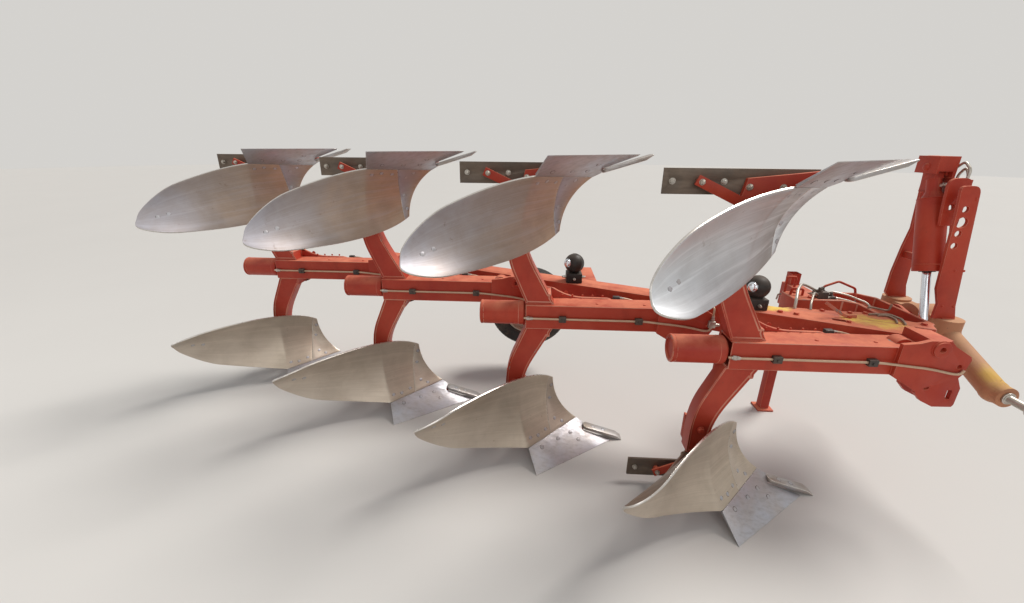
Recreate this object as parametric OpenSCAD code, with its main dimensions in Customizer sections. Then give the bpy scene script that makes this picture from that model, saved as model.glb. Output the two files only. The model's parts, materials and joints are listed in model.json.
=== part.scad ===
// Four-furrow reversible mounted moldboard plough with non-stop legs.
// Millimetres. X is the way of travel, Y is to the left of it, Z is up from the floor.
// The datum of the layout is the share point of the front station, on the landside plane.
// The whole part is then moved so that its origin is the middle of its foot.

/* [Stations] */
// Number of stations, each with one body under the beam and one over it
station_count = 4; // [2:1:4]
// Distance between two stations along the travel
station_pitch = 960; // [900:5:1020]
// Width of one furrow, the sideways step from station to station
furrow_w = 408; // [356:2:457]
// Height of the turnover axis and of the plane between upper and lower bodies
mid_z = 871; // [840:1:900]

/* [Moldboards] */
// Thickness of the board and shin plates
board_t = 9; // [6:1:12]
// Depth of the hollow across the board, from edge to edge
board_hollow = 52; // [30:1:60]
// Strips along the board from shin to tail
board_rows = 15; // [8:1:20]
// Strips across the board from the lower to the upper edge
board_cols = 8; // [4:1:10]
// Seam left between shin, board and share
seam_gap = 0.6; // [0.3:0.1:0.8]

/* [Shares] */
// Thickness of the share plate
share_t = 13; // [9:1:16]
// Width of the reversible point bar
point_w = 60; // [50:1:64]
// Thickness of the point bar
point_t = 20; // [14:1:24]
// Length of the point bar along its slope
point_len = 258; // [220:2:270]
// Slope of the point bar to the floor
point_slope = 17; // [15:1:19]

/* [Landsides] */
// Height of the landside bar
landside_h = 110; // [90:1:116]
// Thickness of the landside bar
landside_t = 12; // [8:1:18]
// Height of the landside's lower edge above the furrow floor
landside_lift = 46; // [40:1:56]
// Distance from the share point back to the landside's heel
landside_heel = 1000; // [980:5:1050]

/* [Legs and arms] */
// Thickness of the frog plate behind the share and board
frog_t = 26; // [20:1:32]
// Side of the square arm tube
arm_w = 140; // [120:1:150]
// Wall of the arm tube
arm_wall = 8; // [5:1:12]
// Distance from the landside plane to the arm's furrow side
arm_side = 145; // [140:1:155]
// Distance from the share point forward to the arm's front end
arm_reach = 205; // [180:1:210]
// Distance from the share point back to the arm's rear end
arm_back = 630; // [620:1:640]
// Diameter of the safety cylinder behind the leg
safety_d = 138; // [110:1:140]
// Length of the safety cylinder
safety_len = 262; // [220:1:300]

/* [Beam and front frame] */
// Height of the beam tube
beam_h = 150; // [120:1:170]
// Width of the beam tube, square to its own length
beam_w = 140; // [110:1:150]
// Wall of the beam tube
beam_wall = 10; // [8:1:16]
// Distance along the travel from the front share point to the beam's front corner
beam_front = 300; // [280:1:310]
// How far the beam runs back past the front end of the last arm
beam_tail = 100; // [60:5:160]

/* [Turnover] */
// Radius of the turnover shaft
shaft_r = 50; // [40:1:52]
// Running clearance round the shaft in its hub
bearing_gap = 0.08; // [0.05:0.01:0.1]
// Outer radius of the hub's rim
hub_r = 92; // [80:1:100]
// Radius of the crank, from the turnover axis to the rod's eye
crank_r = 142; // [135:1:150]
// Outer diameter of the turnover cylinder's barrel
barrel_d = 126; // [100:1:130]
// Diameter of the chromed piston rod
rod_d = 38; // [30:1:46]

/* [Headstock] */
// Thickness of the mast plates
mast_t = 16; // [12:1:20]
// Gap between the two ears that hold the top link
top_link_gap = 60; // [54:1:66]
// Radius of the top link's pin holes
top_link_r = 16; // [12.5:0.1:16.5]
// Radius of the lower link pins
link_pin_r = 18.2; // [14:0.1:18.3]
// Distance between the shoulders of the two lower link pins
link_span = 870; // [820:5:900]
// Height of the lower link pins
link_z = 700; // [680:1:730]
// Height of the mast's top
mast_top = 1745; // [1700:5:1800]

/* [Depth wheel and stand] */
// Outer diameter of the depth wheel's tyre
tyre_d = 620; // [560:5:640]
// Width of the depth wheel's tyre
tyre_w = 200; // [160:5:220]
// Height of the tyre's lowest point above the floor the shares stand on
wheel_lift = 245; // [150:1:260]
// Width of the parking stand's tube
stand_w = 60; // [50:1:70]

/* [Hidden] */

// Middle of the foot of the whole part, measured from the layout's datum
foot_x = -1655;
foot_y = 362.26;

fine = 64;
plain = 32;
slip = 0.3;        // gap between faces of pieces that lie on each other
paint_red = [0.78, 0.16, 0.09];
steel_grey = [0.62, 0.64, 0.66];
dark_grey = [0.25, 0.25, 0.26];

// Edges of one body, from its own share point: the share's cutting edge and its seam to the board
edge_lip = 3;        // blunt height of the cutting edge
edge_tip = [-70, -68, edge_lip];
edge_wing = [-544, -414, edge_lip];
seam_land = [-291, 0, 118];
seam_wing = [-592, -299, 97];
// Control points of the board's lower free edge and of its upper edge
lower_edge = [seam_wing, [-850, -350, 130], [-1140, -592, 296]];
upper_edge = [[-453, 0, 409], [-640, -160, 575], [-1128, -742, 492]];
seam_share = 0.39;   // share of the board's run that lies on the share
tail_start = 0.86;   // where along the run the tail starts to round
tail_low = 0.30;     // how far the rounding takes in the lower edge
tail_high = 0.30;    // how far it takes in the upper edge
split_low = 0.215;   // where the shin ends, along the seam
split_high = 0.06;   // where the shin ends, along the upper edge
rim_t = 0.004;       // the board's lower rim, just over the share's seam

function mix(a, b, t) = a + (b - a) * t;
function curve3(p, t) = p[0] * (1 - t) * (1 - t) + p[1] * 2 * t * (1 - t) + p[2] * t * t;
function unit(v) = v / max(norm(v), 1e-6);
function low_line(s) = s < seam_share
    ? mix(seam_land, seam_wing, s / seam_share)
    : curve3(lower_edge, (s - seam_share) / (1 - seam_share));
function high_line(s) = curve3(upper_edge, s);
function run_dir(s) = unit(mix(low_line(s + 0.02), high_line(s + 0.02), 0.5)
    - mix(low_line(s - 0.02), high_line(s - 0.02), 0.5));
// Back of the board: square to its run and to its rise, and kept in the landside plane at the shin
function back_dir(s) = let (n = unit(cross(run_dir(s), high_line(s) - low_line(s))))
    [n[0], n[1] * min(1, max(0, s) / 0.12), n[2]];
function board_point(s, t) = mix(low_line(s), high_line(s), t)
    + back_dir(s) * board_hollow * 4 * t * (1 - t);
function board_back(s, t) = let (e = 0.01,
    along = board_point(s + e, t) - board_point(s - e, t),
    rise = board_point(s, t + e) - board_point(s, t - e))
    unit(cross(along, rise));
function tail_in(s, part) = s <= tail_start ? 0
    : part * (1 - sqrt(max(0, 1 - pow((s - tail_start) / (1 - tail_start), 2))));
function split_at(t) = mix(split_low, split_high, t);
// Share: a ruled plate from the cutting edge up to the seam
function share_point(s, t) = mix(mix(edge_tip, edge_wing, s), mix(seam_land, seam_wing, s), t);
share_back = unit(cross(edge_wing - edge_tip, seam_wing - edge_wing));
// Place under the share, at a depth below its lower face
function share_under(s, t, depth) = mix(share_point(s, 0) - [0, 0, edge_lip],
    share_point(s, 1) + share_back * share_t, t) + share_back * depth;

// Closed plate between two sheets of points with as many rows and columns
module plate(front, back) {
    rows = len(front);
    cols = len(front[0]);
    n = rows * cols;
    function at(r, c) = r * cols + c;
    polyhedron(concat([for (r = back) for (p = r) p], [for (r = front) for (p = r) p]), concat(
        [for (r = [0:rows - 2]) for (c = [0:cols - 2])
            for (f = [[at(r, c), at(r, c + 1), at(r + 1, c)],
                [at(r + 1, c), at(r, c + 1), at(r + 1, c + 1)]]) f],
        [for (r = [0:rows - 2]) for (c = [0:cols - 2])
            for (f = [[n + at(r, c), n + at(r + 1, c), n + at(r, c + 1)],
                [n + at(r + 1, c), n + at(r + 1, c + 1), n + at(r, c + 1)]]) f],
        [for (r = [0:rows - 2]) for (c = [0, cols - 1]) let (a = at(r, c), b = at(r + 1, c))
            for (f = c == 0 ? [[a, b, n + a], [b, n + b, n + a]] : [[a, n + a, b], [b, n + a, n + b]]) f],
        [for (c = [0:cols - 2]) for (r = [0, rows - 1]) let (a = at(r, c), b = at(r, c + 1))
            for (f = r == 0 ? [[a, n + a, b], [b, n + a, n + b]] : [[a, b, n + a], [b, n + b, n + a]]) f]));
}

// Board surface over a net of [s, t] places, between two depths behind its face
module board_sheet(net, near, far) {
    plate([for (row = net) [for (q = row) board_point(q[0], q[1]) + board_back(q[0], q[1]) * near]],
        [for (row = net) [for (q = row) board_point(q[0], q[1]) + board_back(q[0], q[1]) * far]]);
}

module placed() { translate([-foot_x, -foot_y, 0]) children(); }
module station(i) { placed() translate([-(i - 1) * station_pitch, (i - 1) * furrow_w, 0]) children(); }
module stations() { for (i = [1:station_count]) station(i) children(); }
module turned_up() { translate([0, 0, 2 * mid_z]) mirror([0, 0, 1]) children(); }
module both_ways() { children(); turned_up() children(); }
// A flat outline in X and Z, with its thickness along Y from y0 towards the land
module slab(y0, t) { translate([0, y0 + t, 0]) rotate([90, 0, 0]) linear_extrude(t) children(); }
// A round bar along Y, from y0 towards the land
module cross_bar(x, y0, z, r, len) {
    translate([x, y0 + len, z]) rotate([90, 0, 0]) cylinder(r = r, h = len, $fn = fine);
}
// A round bar along X, from x0 forwards
module long_bar(x0, y, z, r, len) {
    translate([x0, y, z]) rotate([0, 90, 0]) cylinder(r = r, h = len, $fn = fine);
}
// A round bar between two points
module rod_between(a, b, r) {
    d = b - a;
    translate(a) rotate([0, acos(d[2] / norm(d)), atan2(d[1], d[0])]) cylinder(r = r, h = norm(d), $fn = plain);
}

module moldboard() {
    gap = seam_gap / 1000;
    board_sheet([for (i = [0:board_rows]) let (u = i / board_rows) [for (j = [0:board_cols])
        let (t0 = j / board_cols,
            s = mix(split_at(t0) + gap, 1, 1 - pow(1 - u, 1.35)),
            t = mix(rim_t + tail_in(s, tail_low), 1 - tail_in(s, tail_high), t0))
        [s, t]]], 0, board_t);
}
module shin() {
    gap = seam_gap / 1000;
    board_sheet([for (i = [0:3]) [for (j = [0:board_cols])
        [mix(0, split_at(j / board_cols) - gap, i / 3), mix(rim_t, 1, j / board_cols)]]], 0, board_t);
}
module share() {
    rows = [for (i = [0:4]) i / 4];
    difference() {
        plate([for (s = rows) [share_point(s, 0), share_point(s, 1)]],
            [for (s = rows) [share_point(s, 0) - [0, 0, edge_lip], share_point(s, 1) + share_back * share_t]]);
        point_place() translate([-point_len - slip, -point_w / 2 - slip, -200])
            cube([point_len + 100, point_w + 100, 200 + point_t + 60]);
    }
}

point_nose = [-8, -34, 0];   // where the bar's lower face meets the floor
module point_place() { translate(point_nose) rotate([0, point_slope, 0]) children(); }
module point_bar() {
    difference() {
        point_place() translate([-point_len, -point_w / 2, 0]) {
            translate([point_w / 2, 0, 0]) cube([point_len - point_w / 2 + 30, point_w, point_t]);
            translate([point_w / 2, point_w / 2, 0]) cylinder(d = point_w, h = point_t, $fn = fine);
        }
        translate([-300, -150, -60]) cube([400, 300, 60]);
        translate([0, -150, -1]) cube([100, 300, 100]);
        slab(-150, 300) polygon([[1, 4], [1, 70], [-60, 70], [-60, 46]]);
    }
}
landside_y = -landside_t;
frog_y = landside_y - slip - frog_t;
module landside_bar() {
    difference() {
        slab(landside_y, landside_t)
            polygon([[-landside_heel, landside_lift], [-345, landside_lift], [-384, landside_lift + landside_h],
                [-landside_heel, landside_lift + landside_h]]);
        for (x = [-960, -740])
            cross_bar(x, landside_y - 1, landside_lift + landside_h / 2, 9, landside_t + 2);
    }
}
// Lower face of the point bar at a place along the travel
function point_under(x) = (point_nose[0] - x) * tan(point_slope);
module frog() {
    nose_x = -250;
    seat = board_t + 2 * slip;
    difference() {
        union() {
            slab(frog_y, frog_t)
                polygon([[-668, 172], [-650, 84], [-420, 60], [nose_x, 40],
                    [nose_x + 12, point_under(nose_x + 12) - 2], [-290, 84], [-345, 92], [-424, 150],
                    [-470, 205], [-545, 300], [-630, 430], [-742, 470], [-742, 330]]);
            board_sheet([for (i = [1:3]) [for (j = [1:5])
                [mix(0, split_at(j / board_cols) - seam_gap / 1000, i / 3), mix(rim_t, 1, j / board_cols)]]],
                seat, seat + 26);
            plate([for (s = [0.14, 0.38, 0.62]) [for (t = [0.55, 0.97]) share_under(s, t, 1.2)]],
                [for (s = [0.14, 0.38, 0.62]) [for (t = [0.55, 0.97]) share_under(s, t, 17)]]);
        }
        translate([-800, landside_y - slip, -10]) cube([700, 60, 600]);
    }
}
stay_from = [-700, frog_y - 16.4, 272];
function stay_end(s, t) = board_point(s, t) + board_back(s, t) * (board_t + slip + 18);
module board_stay() {
    end = stay_end(0.78, 0.30);
    rod_between(stay_from, end, 13);
    for (p = [[stay_from, 16], [end, 17.6]]) translate(p[0]) sphere(r = p[1], $fn = plain);
}
module landside_strut() {
    low = [-845, 101];
    up = [-640, 196];
    lean = atan2(up[1] - low[1], up[0] - low[0]);
    slab(frog_y - slip - 10, 10) translate(low) rotate(lean) translate([-22, -22]) square([norm(up - low) + 44, 44]);
    cross_bar(low[0], frog_y - slip - 1, low[1], 15, frog_t + slip * 2 + 0.7);
}

leg_near = arm_side - 22;              // leg's furrow side, from the landside plane
leg_far = -frog_y + slip;              // leg's land side, lying on the frog
leg_foot = 300;                        // height of the leg's foot
arm_low = mid_z - arm_w / 2;
arm_far = -arm_side + arm_w;
// Points of a bend from one place to another, pulled towards a third
function bend(a, pull, b, n = 6) = [for (k = [0:n]) curve3([a, pull, b], k / n)];
module leg() {
    slab(-leg_near, leg_near - leg_far)
        polygon(concat([[-630, arm_low - slip], [-470, arm_low - slip]], bend([-578, 604], [-640, 490], [-640, 400]),
            [[-640, leg_foot], [-742, leg_foot]], bend([-742, 420], [-742, 536], [-704, 627])));
    translate([-630, -leg_near, arm_low - slip - 60]) cube([140, leg_near + arm_far + slip + 16, 60]);
}
module legs() {
    both_ways() leg();
    side_top = concat([[-570, 150]], bend([-470, 128], [-390, 78], [-300, 76]), bend([-160, 74], [-128, 72], [-112, 40], 3));
    slab(arm_far + slip, 16) translate([0, mid_z])
        polygon(concat([[-630, -150], [-630, 150]], side_top,
            [for (k = [len(side_top) - 1:-1:0]) [side_top[k][0], -side_top[k][1]]]));
}
lug_r = 48;        // round lugs over and under the arm's front end
lug_x = arm_reach - lug_r - 2;
module arm() {
    both_ways() slab(-arm_side + 40, arm_w - 80) translate([lug_x, mid_z + arm_w / 2 - lug_r / 2])
        intersection() {
            circle(r = lug_r, $fn = fine);
            translate([-lug_r, lug_r / 2 - 4]) square([2 * lug_r, lug_r]);
        }
    difference() {
        translate([-arm_back, -arm_side, arm_low]) cube([arm_back + arm_reach, arm_w, arm_w]);
        translate([-arm_back - 1, -arm_side + arm_wall, arm_low + arm_wall])
            cube([arm_back + arm_reach - arm_wall + 1, arm_w - 2 * arm_wall, arm_w - 2 * arm_wall]);
    }
}
module safety_cylinder() {
    x0 = -arm_back - safety_len - slip;
    long_bar(x0 + 14, -arm_side + arm_w / 2, mid_z, safety_d / 2, safety_len - 14);
    long_bar(x0, -arm_side + arm_w / 2, mid_z, safety_d / 2 - 16, 20);
}

pipe_r = 6;
pipe_y = -arm_side - pipe_r - 6;
pipe_z = mid_z - 4;
clamp_at = [-424, -3];
pipe_sides = 10;
// Rounds the corners of a route: each inner point becomes a short arc of points
function eased(p, r) = [for (i = [0:len(p) - 1]) each (i == 0 || i == len(p) - 1) ? [p[i]]
    : let (a = unit(p[i - 1] - p[i]), b = unit(p[i + 1] - p[i])) [for (k = [0:4]) let (t = k / 4)
        curve3([p[i] + a * r, p[i], p[i] + b * r], t)]];
// Tube of many short rings along a route
module tube(route, r) {
    n = len(route);
    function ahead(i) = unit(route[min(i + 1, n - 1)] - route[max(i - 1, 0)]);
    function side(i) = i == 0 ? unit(cross(ahead(0), [0.1, 0.2, 1])) : unit(cross(cross(ahead(i), side(i - 1)), ahead(i)));
    rings = [for (i = [0:n - 1]) let (u = side(i), v = cross(ahead(i), u)) for (k = [0:pipe_sides - 1])
        route[i] + (u * cos(k * 360 / pipe_sides) + v * sin(k * 360 / pipe_sides)) * r];
    polyhedron(rings, concat(
        [for (i = [0:n - 2]) for (k = [0:pipe_sides - 1]) let (a = i * pipe_sides + k, b = i * pipe_sides + (k + 1) % pipe_sides)
            for (f = [[a, a + pipe_sides, b], [b, a + pipe_sides, b + pipe_sides]]) f],
        [[for (k = [0:pipe_sides - 1]) k]], [[for (k = [pipe_sides - 1:-1:0]) (n - 1) * pipe_sides + k]]));
}
module arm_pipe() {
    out_y = console_near - pipe_r - 1;
    tube(eased([[-640, -arm_side + 20 - 26, pipe_z], [-600, pipe_y, pipe_z], [30, pipe_y, pipe_z],
        [90, out_y, pipe_z], [250, out_y, pipe_z - 16], [372, out_y, pipe_z - 44], [385, out_y - 4, pipe_z - 16]], 12), pipe_r);
}
module pipe_clamp(x) {
    difference() {
        translate([x - 20, pipe_y - pipe_r - 6, mid_z - 20]) cube([40, -arm_side - slip - pipe_y + pipe_r + 6, 32]);
        long_bar(x - 21, pipe_y, pipe_z, pipe_r + slip, 42);
    }
}

beam_angle = atan2(furrow_w, station_pitch);
beam_rear = -(station_count - 1) * station_pitch + arm_reach - beam_tail;
beam_len = (beam_front - beam_rear) / cos(beam_angle);
beam_side = 96;    // beam's near face from the datum, measured along Y at x = 0
function beam_near(x) = beam_side - x * tan(beam_angle);
function beam_far(x) = beam_near(x) + beam_w / cos(beam_angle);
beam_tip = [beam_front + beam_w * sin(beam_angle), beam_near(beam_front) + beam_w * cos(beam_angle)];

console_near = -arm_side - 20 - slip;
cheek_t = 20;
boss_at = [262, mid_z + 76];
hook_at = [370, mid_z - 10];
ear_hole = [262, mid_z - 118];
ear_slot = [371, mid_z - 153];
fork_gap = 70;     // gap between the two lower ears
module ear_outline() {
    difference() {
        polygon([[214, mid_z - 64], [222, mid_z - 152], [258, mid_z - 190], [318, mid_z - 219], [404, mid_z - 217],
            [411, mid_z - 205], [411, mid_z - 118], [384, mid_z - 64]]);
        translate(ear_hole) circle(r = 14, $fn = fine);
        translate(ear_slot - [11, 24]) square([22, 48]);
    }
}
module console() {
    slab(console_near, cheek_t) difference() {
        polygon([[100, mid_z - 70], [100, mid_z + 92], [170, mid_z + 100], [214, mid_z + 114], [300, mid_z + 114],
            [324, mid_z + 90], [404, mid_z + 42], [411, mid_z + 26], [396, mid_z - 48], [374, mid_z - 82], [300, mid_z - 96],
            [222, mid_z - 142], [130, mid_z - 88]]);
        translate(boss_at) circle(r = 14, $fn = fine);
        translate(hook_at) circle(r = 12, $fn = fine);
    }
    difference() {
        cross_bar(boss_at[0], console_near - 12, boss_at[1], 36, 20);
        cross_bar(boss_at[0], console_near - 13, boss_at[1], 14, 40);
    }
    slab(console_near, cheek_t) ear_outline();
    intersection() {
        slab(console_near + cheek_t + fork_gap, cheek_t) ear_outline();
        translate([0, -arm_side, 0]) cube([500, arm_w, mid_z - beam_h / 2 - slip]);
    }
    translate([236, console_near + 10, mid_z - 100]) cube([60, fork_gap + 20, 26]);
    translate([0, 0, mid_z - 70]) linear_extrude(140)
        polygon([[arm_reach + slip, console_near + 10], [360, console_near + 10], [360, beam_near(360) - slip],
            [arm_reach + slip, beam_near(arm_reach + slip) - slip]]);
    translate([0, 0, mid_z + 60]) linear_extrude(54)
        polygon([[222, console_near + 10], [312, console_near + 10], [312, beam_near(312) - slip],
            [222, beam_near(222) - slip]]);
}
module main_beam() {
    placed() translate([beam_front, beam_near(beam_front), mid_z - beam_h / 2]) rotate([0, 0, -beam_angle])
        difference() {
            translate([-beam_len, 0, 0]) cube([beam_len, beam_w, beam_h]);
            translate([-beam_len + beam_wall, beam_wall, beam_wall])
                cube([beam_len, beam_w - 2 * beam_wall, beam_h - 2 * beam_wall]);
            translate([-beam_slot, beam_w / 2, -1]) linear_extrude(beam_h + 2) {
                for (x = [-18, 18]) translate([x, 0]) circle(r = 15, $fn = fine);
                translate([-18, -15]) square([36, 30]);
            }
        }
}
beam_slot = 322;   // oval hole, from the beam's front end
frame_x = 490;     // front face of the turning frame
pocket_z = 110;    // depth of the open tray in the frame's front
frame_side = 620;  // its far side
module front_frame() {
    placed() translate([0, 0, mid_z - beam_h / 2]) difference() {
        linear_extrude(beam_h) frame_outline();
        for (z = [beam_h - pocket_z / 2, -1]) translate([0, 0, z]) linear_extrude(pocket_z / 2 + 1)
            polygon([[316, 296], [352, 196], [410, 158], [frame_x - 14, 176], [frame_x - 14, 533], [416, frame_side - 16],
                [120, frame_side - 16], [120, 486], [258, 486], [316, 428]]);
    }
}
module frame_outline() {
        polygon([[-180, beam_far(-180) + slip], [beam_tip[0] + slip, beam_far(beam_tip[0] + slip) + slip],
            [440, 66], [466, 120], [frame_x, 140], [frame_x, 540], [420, frame_side], [-20, frame_side], [-20, 470],
            [250, 470], [300, 420], [300, 280], [58, 300], [-120, 335]]);
}
turn_y = 390;      // turnover axis, from the datum
eye_x = 535;       // middle of the rod's eye
eye_w = 40;        // width of the rod's eye along the travel
eye_r = 32;        // outer radius of the rod's eye
neck_r = 40;       // radius of the shaft's neck beside the rod's eye
crank_t = 17;      // thickness of the crank plate
crank_lift = 14;   // rod eye at rest above the turnover axis
crank_side = sqrt(crank_r * crank_r - crank_lift * crank_lift);
hub_x = 566;
hub_len = 160;
module crank() {
    placed() {
        long_bar(frame_x + slip, turn_y, mid_z, neck_r, hub_x - frame_x + 20);
        long_bar(hub_x, turn_y, mid_z, shaft_r, hub_len + 10);
        long_bar(hub_x + hub_len + slip, turn_y, mid_z, 76, 12);
        translate([frame_x + slip, turn_y, mid_z]) rotate([90, 0, 90]) linear_extrude(crank_t) {
            circle(r = 84, $fn = fine);
            translate([-crank_side, crank_lift]) circle(r = eye_r + 4, $fn = fine);
            polygon([[-crank_side + 3, crank_lift + eye_r + 4], [-8, 84], [-8, -84], [-crank_side - 3, crank_lift - eye_r - 4]]);
        }
        long_bar(frame_x + slip + 1, turn_y - crank_side, mid_z + crank_lift, eye_r, eye_x - eye_w / 2 - frame_x - 2 * slip - 1);
    }
}
// Hydraulic unit on the beam, ahead of each station's safety cylinder
module accumulators() {
    for (i = [1:3]) station(i) translate([-331, 312, mid_z + beam_h / 2 + slip]) {
        translate([-50, -50, 0]) cube([100, 100, 62]);
        translate([0, 0, 120]) sphere(r = 64, $fn = fine);
        translate([0, 0, 120]) rotate([0, 80, -141]) cylinder(r = 26, h = 74, $fn = plain);
    }
}
wheel_x = -1580;
wheel_y = 1275;
wheel_z = wheel_lift + tyre_d / 2;
pivot_x = -1190;
hub_pin_r = 22;
arm_t = 26;
bracket_far = 1118;
module wheel_bracket() {
    placed() difference() {
        translate([0, 0, mid_z - 60]) linear_extrude(120)
            polygon([[pivot_x - 60, beam_far(pivot_x - 60) + slip], [pivot_x + 60, beam_far(pivot_x + 60) + slip],
                [pivot_x + 60, bracket_far], [pivot_x - 60, bracket_far]]);
        cross_bar(pivot_x, bracket_far - 60, mid_z, 20 + bearing_gap, 80);
    }
}
module wheel_arm() {
    reach = norm([wheel_x - pivot_x, wheel_z - mid_z]);
    wheel_side = wheel_y - tyre_w / 2;
    placed() translate([pivot_x, bracket_far + 6, mid_z])
        rotate([0, -atan2(mid_z - wheel_z, pivot_x - wheel_x), 0]) {
        translate([-reach, 0, -30]) cube([reach, arm_t, 60]);
        rotate([-90, 0, 0]) cylinder(r = 50, h = arm_t, $fn = fine);
        rotate([90, 0, 0]) translate([0, 0, -1]) cylinder(r = 20, h = 60, $fn = fine);
        translate([-reach, 0, 0]) rotate([-90, 0, 0])
            cylinder(r = hub_pin_r, h = wheel_y - bracket_far - 6 + tyre_w / 2 - 20, $fn = fine);
        translate([-reach, 0, 0]) rotate([-90, 0, 0]) cylinder(r = 40, h = arm_t, $fn = fine);
    }
}
rim_r = tyre_d / 2 - 110;
module wheel_rim() {
    placed() translate([wheel_x, wheel_y, wheel_z]) rotate([90, 0, 0]) difference() {
        union() {
            cylinder(r = rim_r, h = tyre_w - 40, center = true, $fn = fine);
        }
        for (side = [-1, 1]) translate([0, 0, side * (tyre_w / 2 - 20)]) cylinder(r = rim_r - 12, h = tyre_w - 80, center = true, $fn = fine);
        cylinder(r = hub_pin_r + bearing_gap, h = tyre_w + 2, center = true, $fn = fine);
    }
}
module tyre() {
    placed() translate([wheel_x, wheel_y, wheel_z]) rotate([90, 0, 0]) difference() {
        cylinder(r = tyre_d / 2, h = tyre_w, center = true, $fn = fine);
        cylinder(r = rim_r + slip, h = tyre_w + 1, center = true, $fn = fine);
    }
}
stand_x = 130;
stand_y = 785;
stand_gap = 0.5;   // running gap round the stand's tube
module stand_bracket() {
    placed() difference() {
        translate([stand_x - stand_w / 2 - 12, frame_side + slip, mid_z - 75])
            cube([stand_w + 24, stand_y - frame_side + stand_w / 2 + 12, 150]);
        translate([stand_x - stand_w / 2 - stand_gap, stand_y - stand_w / 2 - stand_gap, mid_z - 80])
            cube([stand_w + 2 * stand_gap, stand_w + 2 * stand_gap, 160]);
    }
}
module stand_leg() {
    placed() {
        translate([stand_x - stand_w / 2, stand_y - stand_w / 2, 10]) cube([stand_w, stand_w, 1010]);
        translate([stand_x - 55, stand_y - 55, 0]) cube([110, 110, 12]);
    }
}

mast_near = 245;   // near face of the near mast plate
mast_far = 600;    // near face of the far mast plate
mast_foot = 935;   // height at which the mast stands on the yoke
mast_rear = 575;   // rear face of the crosshead's web
mast_h = mast_top - mast_foot;
ear_y = mast_near + mast_t + top_link_gap;
ear_low = mast_top - 333;   // lower edge of the inner ear, clear of the swinging barrel
link_holes = [[533, mast_top - 240], [539, mast_top - 359], [541, mast_top - 420]];
pivot_y = 494;
pivot_z = mast_top - 55;
pivot_r = 16;
lug_t = 12;
web_t = 15;
cap_rear = 492;    // rear face of the cap over the cylinder's eye
cap_half = 68;     // half its width
cap_h = 86;
function mast_z(part) = mast_foot + part * mast_h;
module near_plate() {
    slab(mast_near, mast_t) difference() {
        polygon(concat([[566, mast_foot], [680, mast_foot], [658, mast_z(0.09)]],
            bend([574, mast_top - 168], [568, mast_top - 128], [534, mast_top - 129]),
            bend([500, mast_top - 130], [480, mast_top - 131], [482, mast_top - 152], 3),
            [[500, mast_top - 278], [527, mast_z(0.29)], [534, mast_z(0.20)], [566, mast_z(0.10)]]));
        for (p = link_holes) translate(p) circle(r = top_link_r, $fn = fine);
        translate([538, mast_top - 304]) circle(r = 26, $fn = fine);
    }
}
module inner_ear() {
    slab(ear_y, mast_t) difference() {
        polygon(concat([[506, ear_low], [mast_rear + web_t, ear_low]],
            bend([mast_rear + web_t, mast_top - 128], [mast_rear + web_t - 2, mast_top - 98], [548, mast_top - 98]),
            bend([516, mast_top - 100], [484, mast_top - 102], [482, mast_top - 136]), [[496, mast_top - 265]]));
        translate(link_holes[0]) circle(r = top_link_r, $fn = fine);
    }
}
module far_plate() {
    slab(mast_far, mast_t)
        polygon([[600, mast_foot], [705, mast_foot], [684, mast_z(0.09)], [648, mast_top - 105], [630, mast_top],
            [mast_rear, mast_top], [606, mast_z(0.51)], [590, mast_z(0.38)], [576, mast_z(0.19)], [576, mast_z(0.03)]]);
}
brace_from = mast_near + mast_t + slip;
module mast_head() {
    placed() {
        inner_ear();
        translate([mast_rear, ear_y + 1, mast_top - 190]) cube([web_t, mast_far - slip - ear_y - 1, 84]);
        translate([mast_rear, pivot_y - cap_half, mast_top - 110]) cube([web_t, mast_far - slip - pivot_y + cap_half, 110]);
        translate([cap_rear, pivot_y - cap_half, mast_top - 14]) cube([mast_rear + 7 - cap_rear, 2 * cap_half, 14]);
        translate([cap_rear, pivot_y - cap_half, mast_top - cap_h]) cube([lug_t, 2 * cap_half, cap_h]);
        for (y = [pivot_y - cap_half, pivot_y + cap_half - 10])
            translate([cap_rear + 1, y, mast_top - cap_h + 12]) cube([mast_rear + 1 - cap_rear, 10, cap_h - 13]);
        translate([573 - lug_t, pivot_y - 45, pivot_z - 40]) cube([lug_t, 90, mast_top - pivot_z + 30]);
        long_bar(492, pivot_y, pivot_z, pivot_r, 90);
    }
}
// Spacer between the near plate and the inner ear, and the cross tie between the two plates
module mast_braces() {
    placed() {
        translate([mast_rear + 1, brace_from, mast_top - 200]) cube([web_t - 1, ear_y - slip - brace_from, 16]);
        translate([606, brace_from, mast_z(0.30)]) cube([web_t, mast_far - slip - brace_from, 40]);
    }
}
// Cross piece in Y and Z that carries the hub and drops to the lower link pins at both ends
link_y = 290;
yoke_x = 600;
yoke_w = 110;
shank_r = 22;      // pin's shank in the cross piece
shank_len = 72;
collar_r = 29;     // pin's collar outside the cross piece
collar_t = 10;
pin_len = 110;     // free end for the tractor's ball
saddle_r = 70;     // round foot under each mast plate
saddle_h = 76;
yoke_r = 54;       // radius of the cross piece's bent arms
boss_r = 50;
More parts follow.
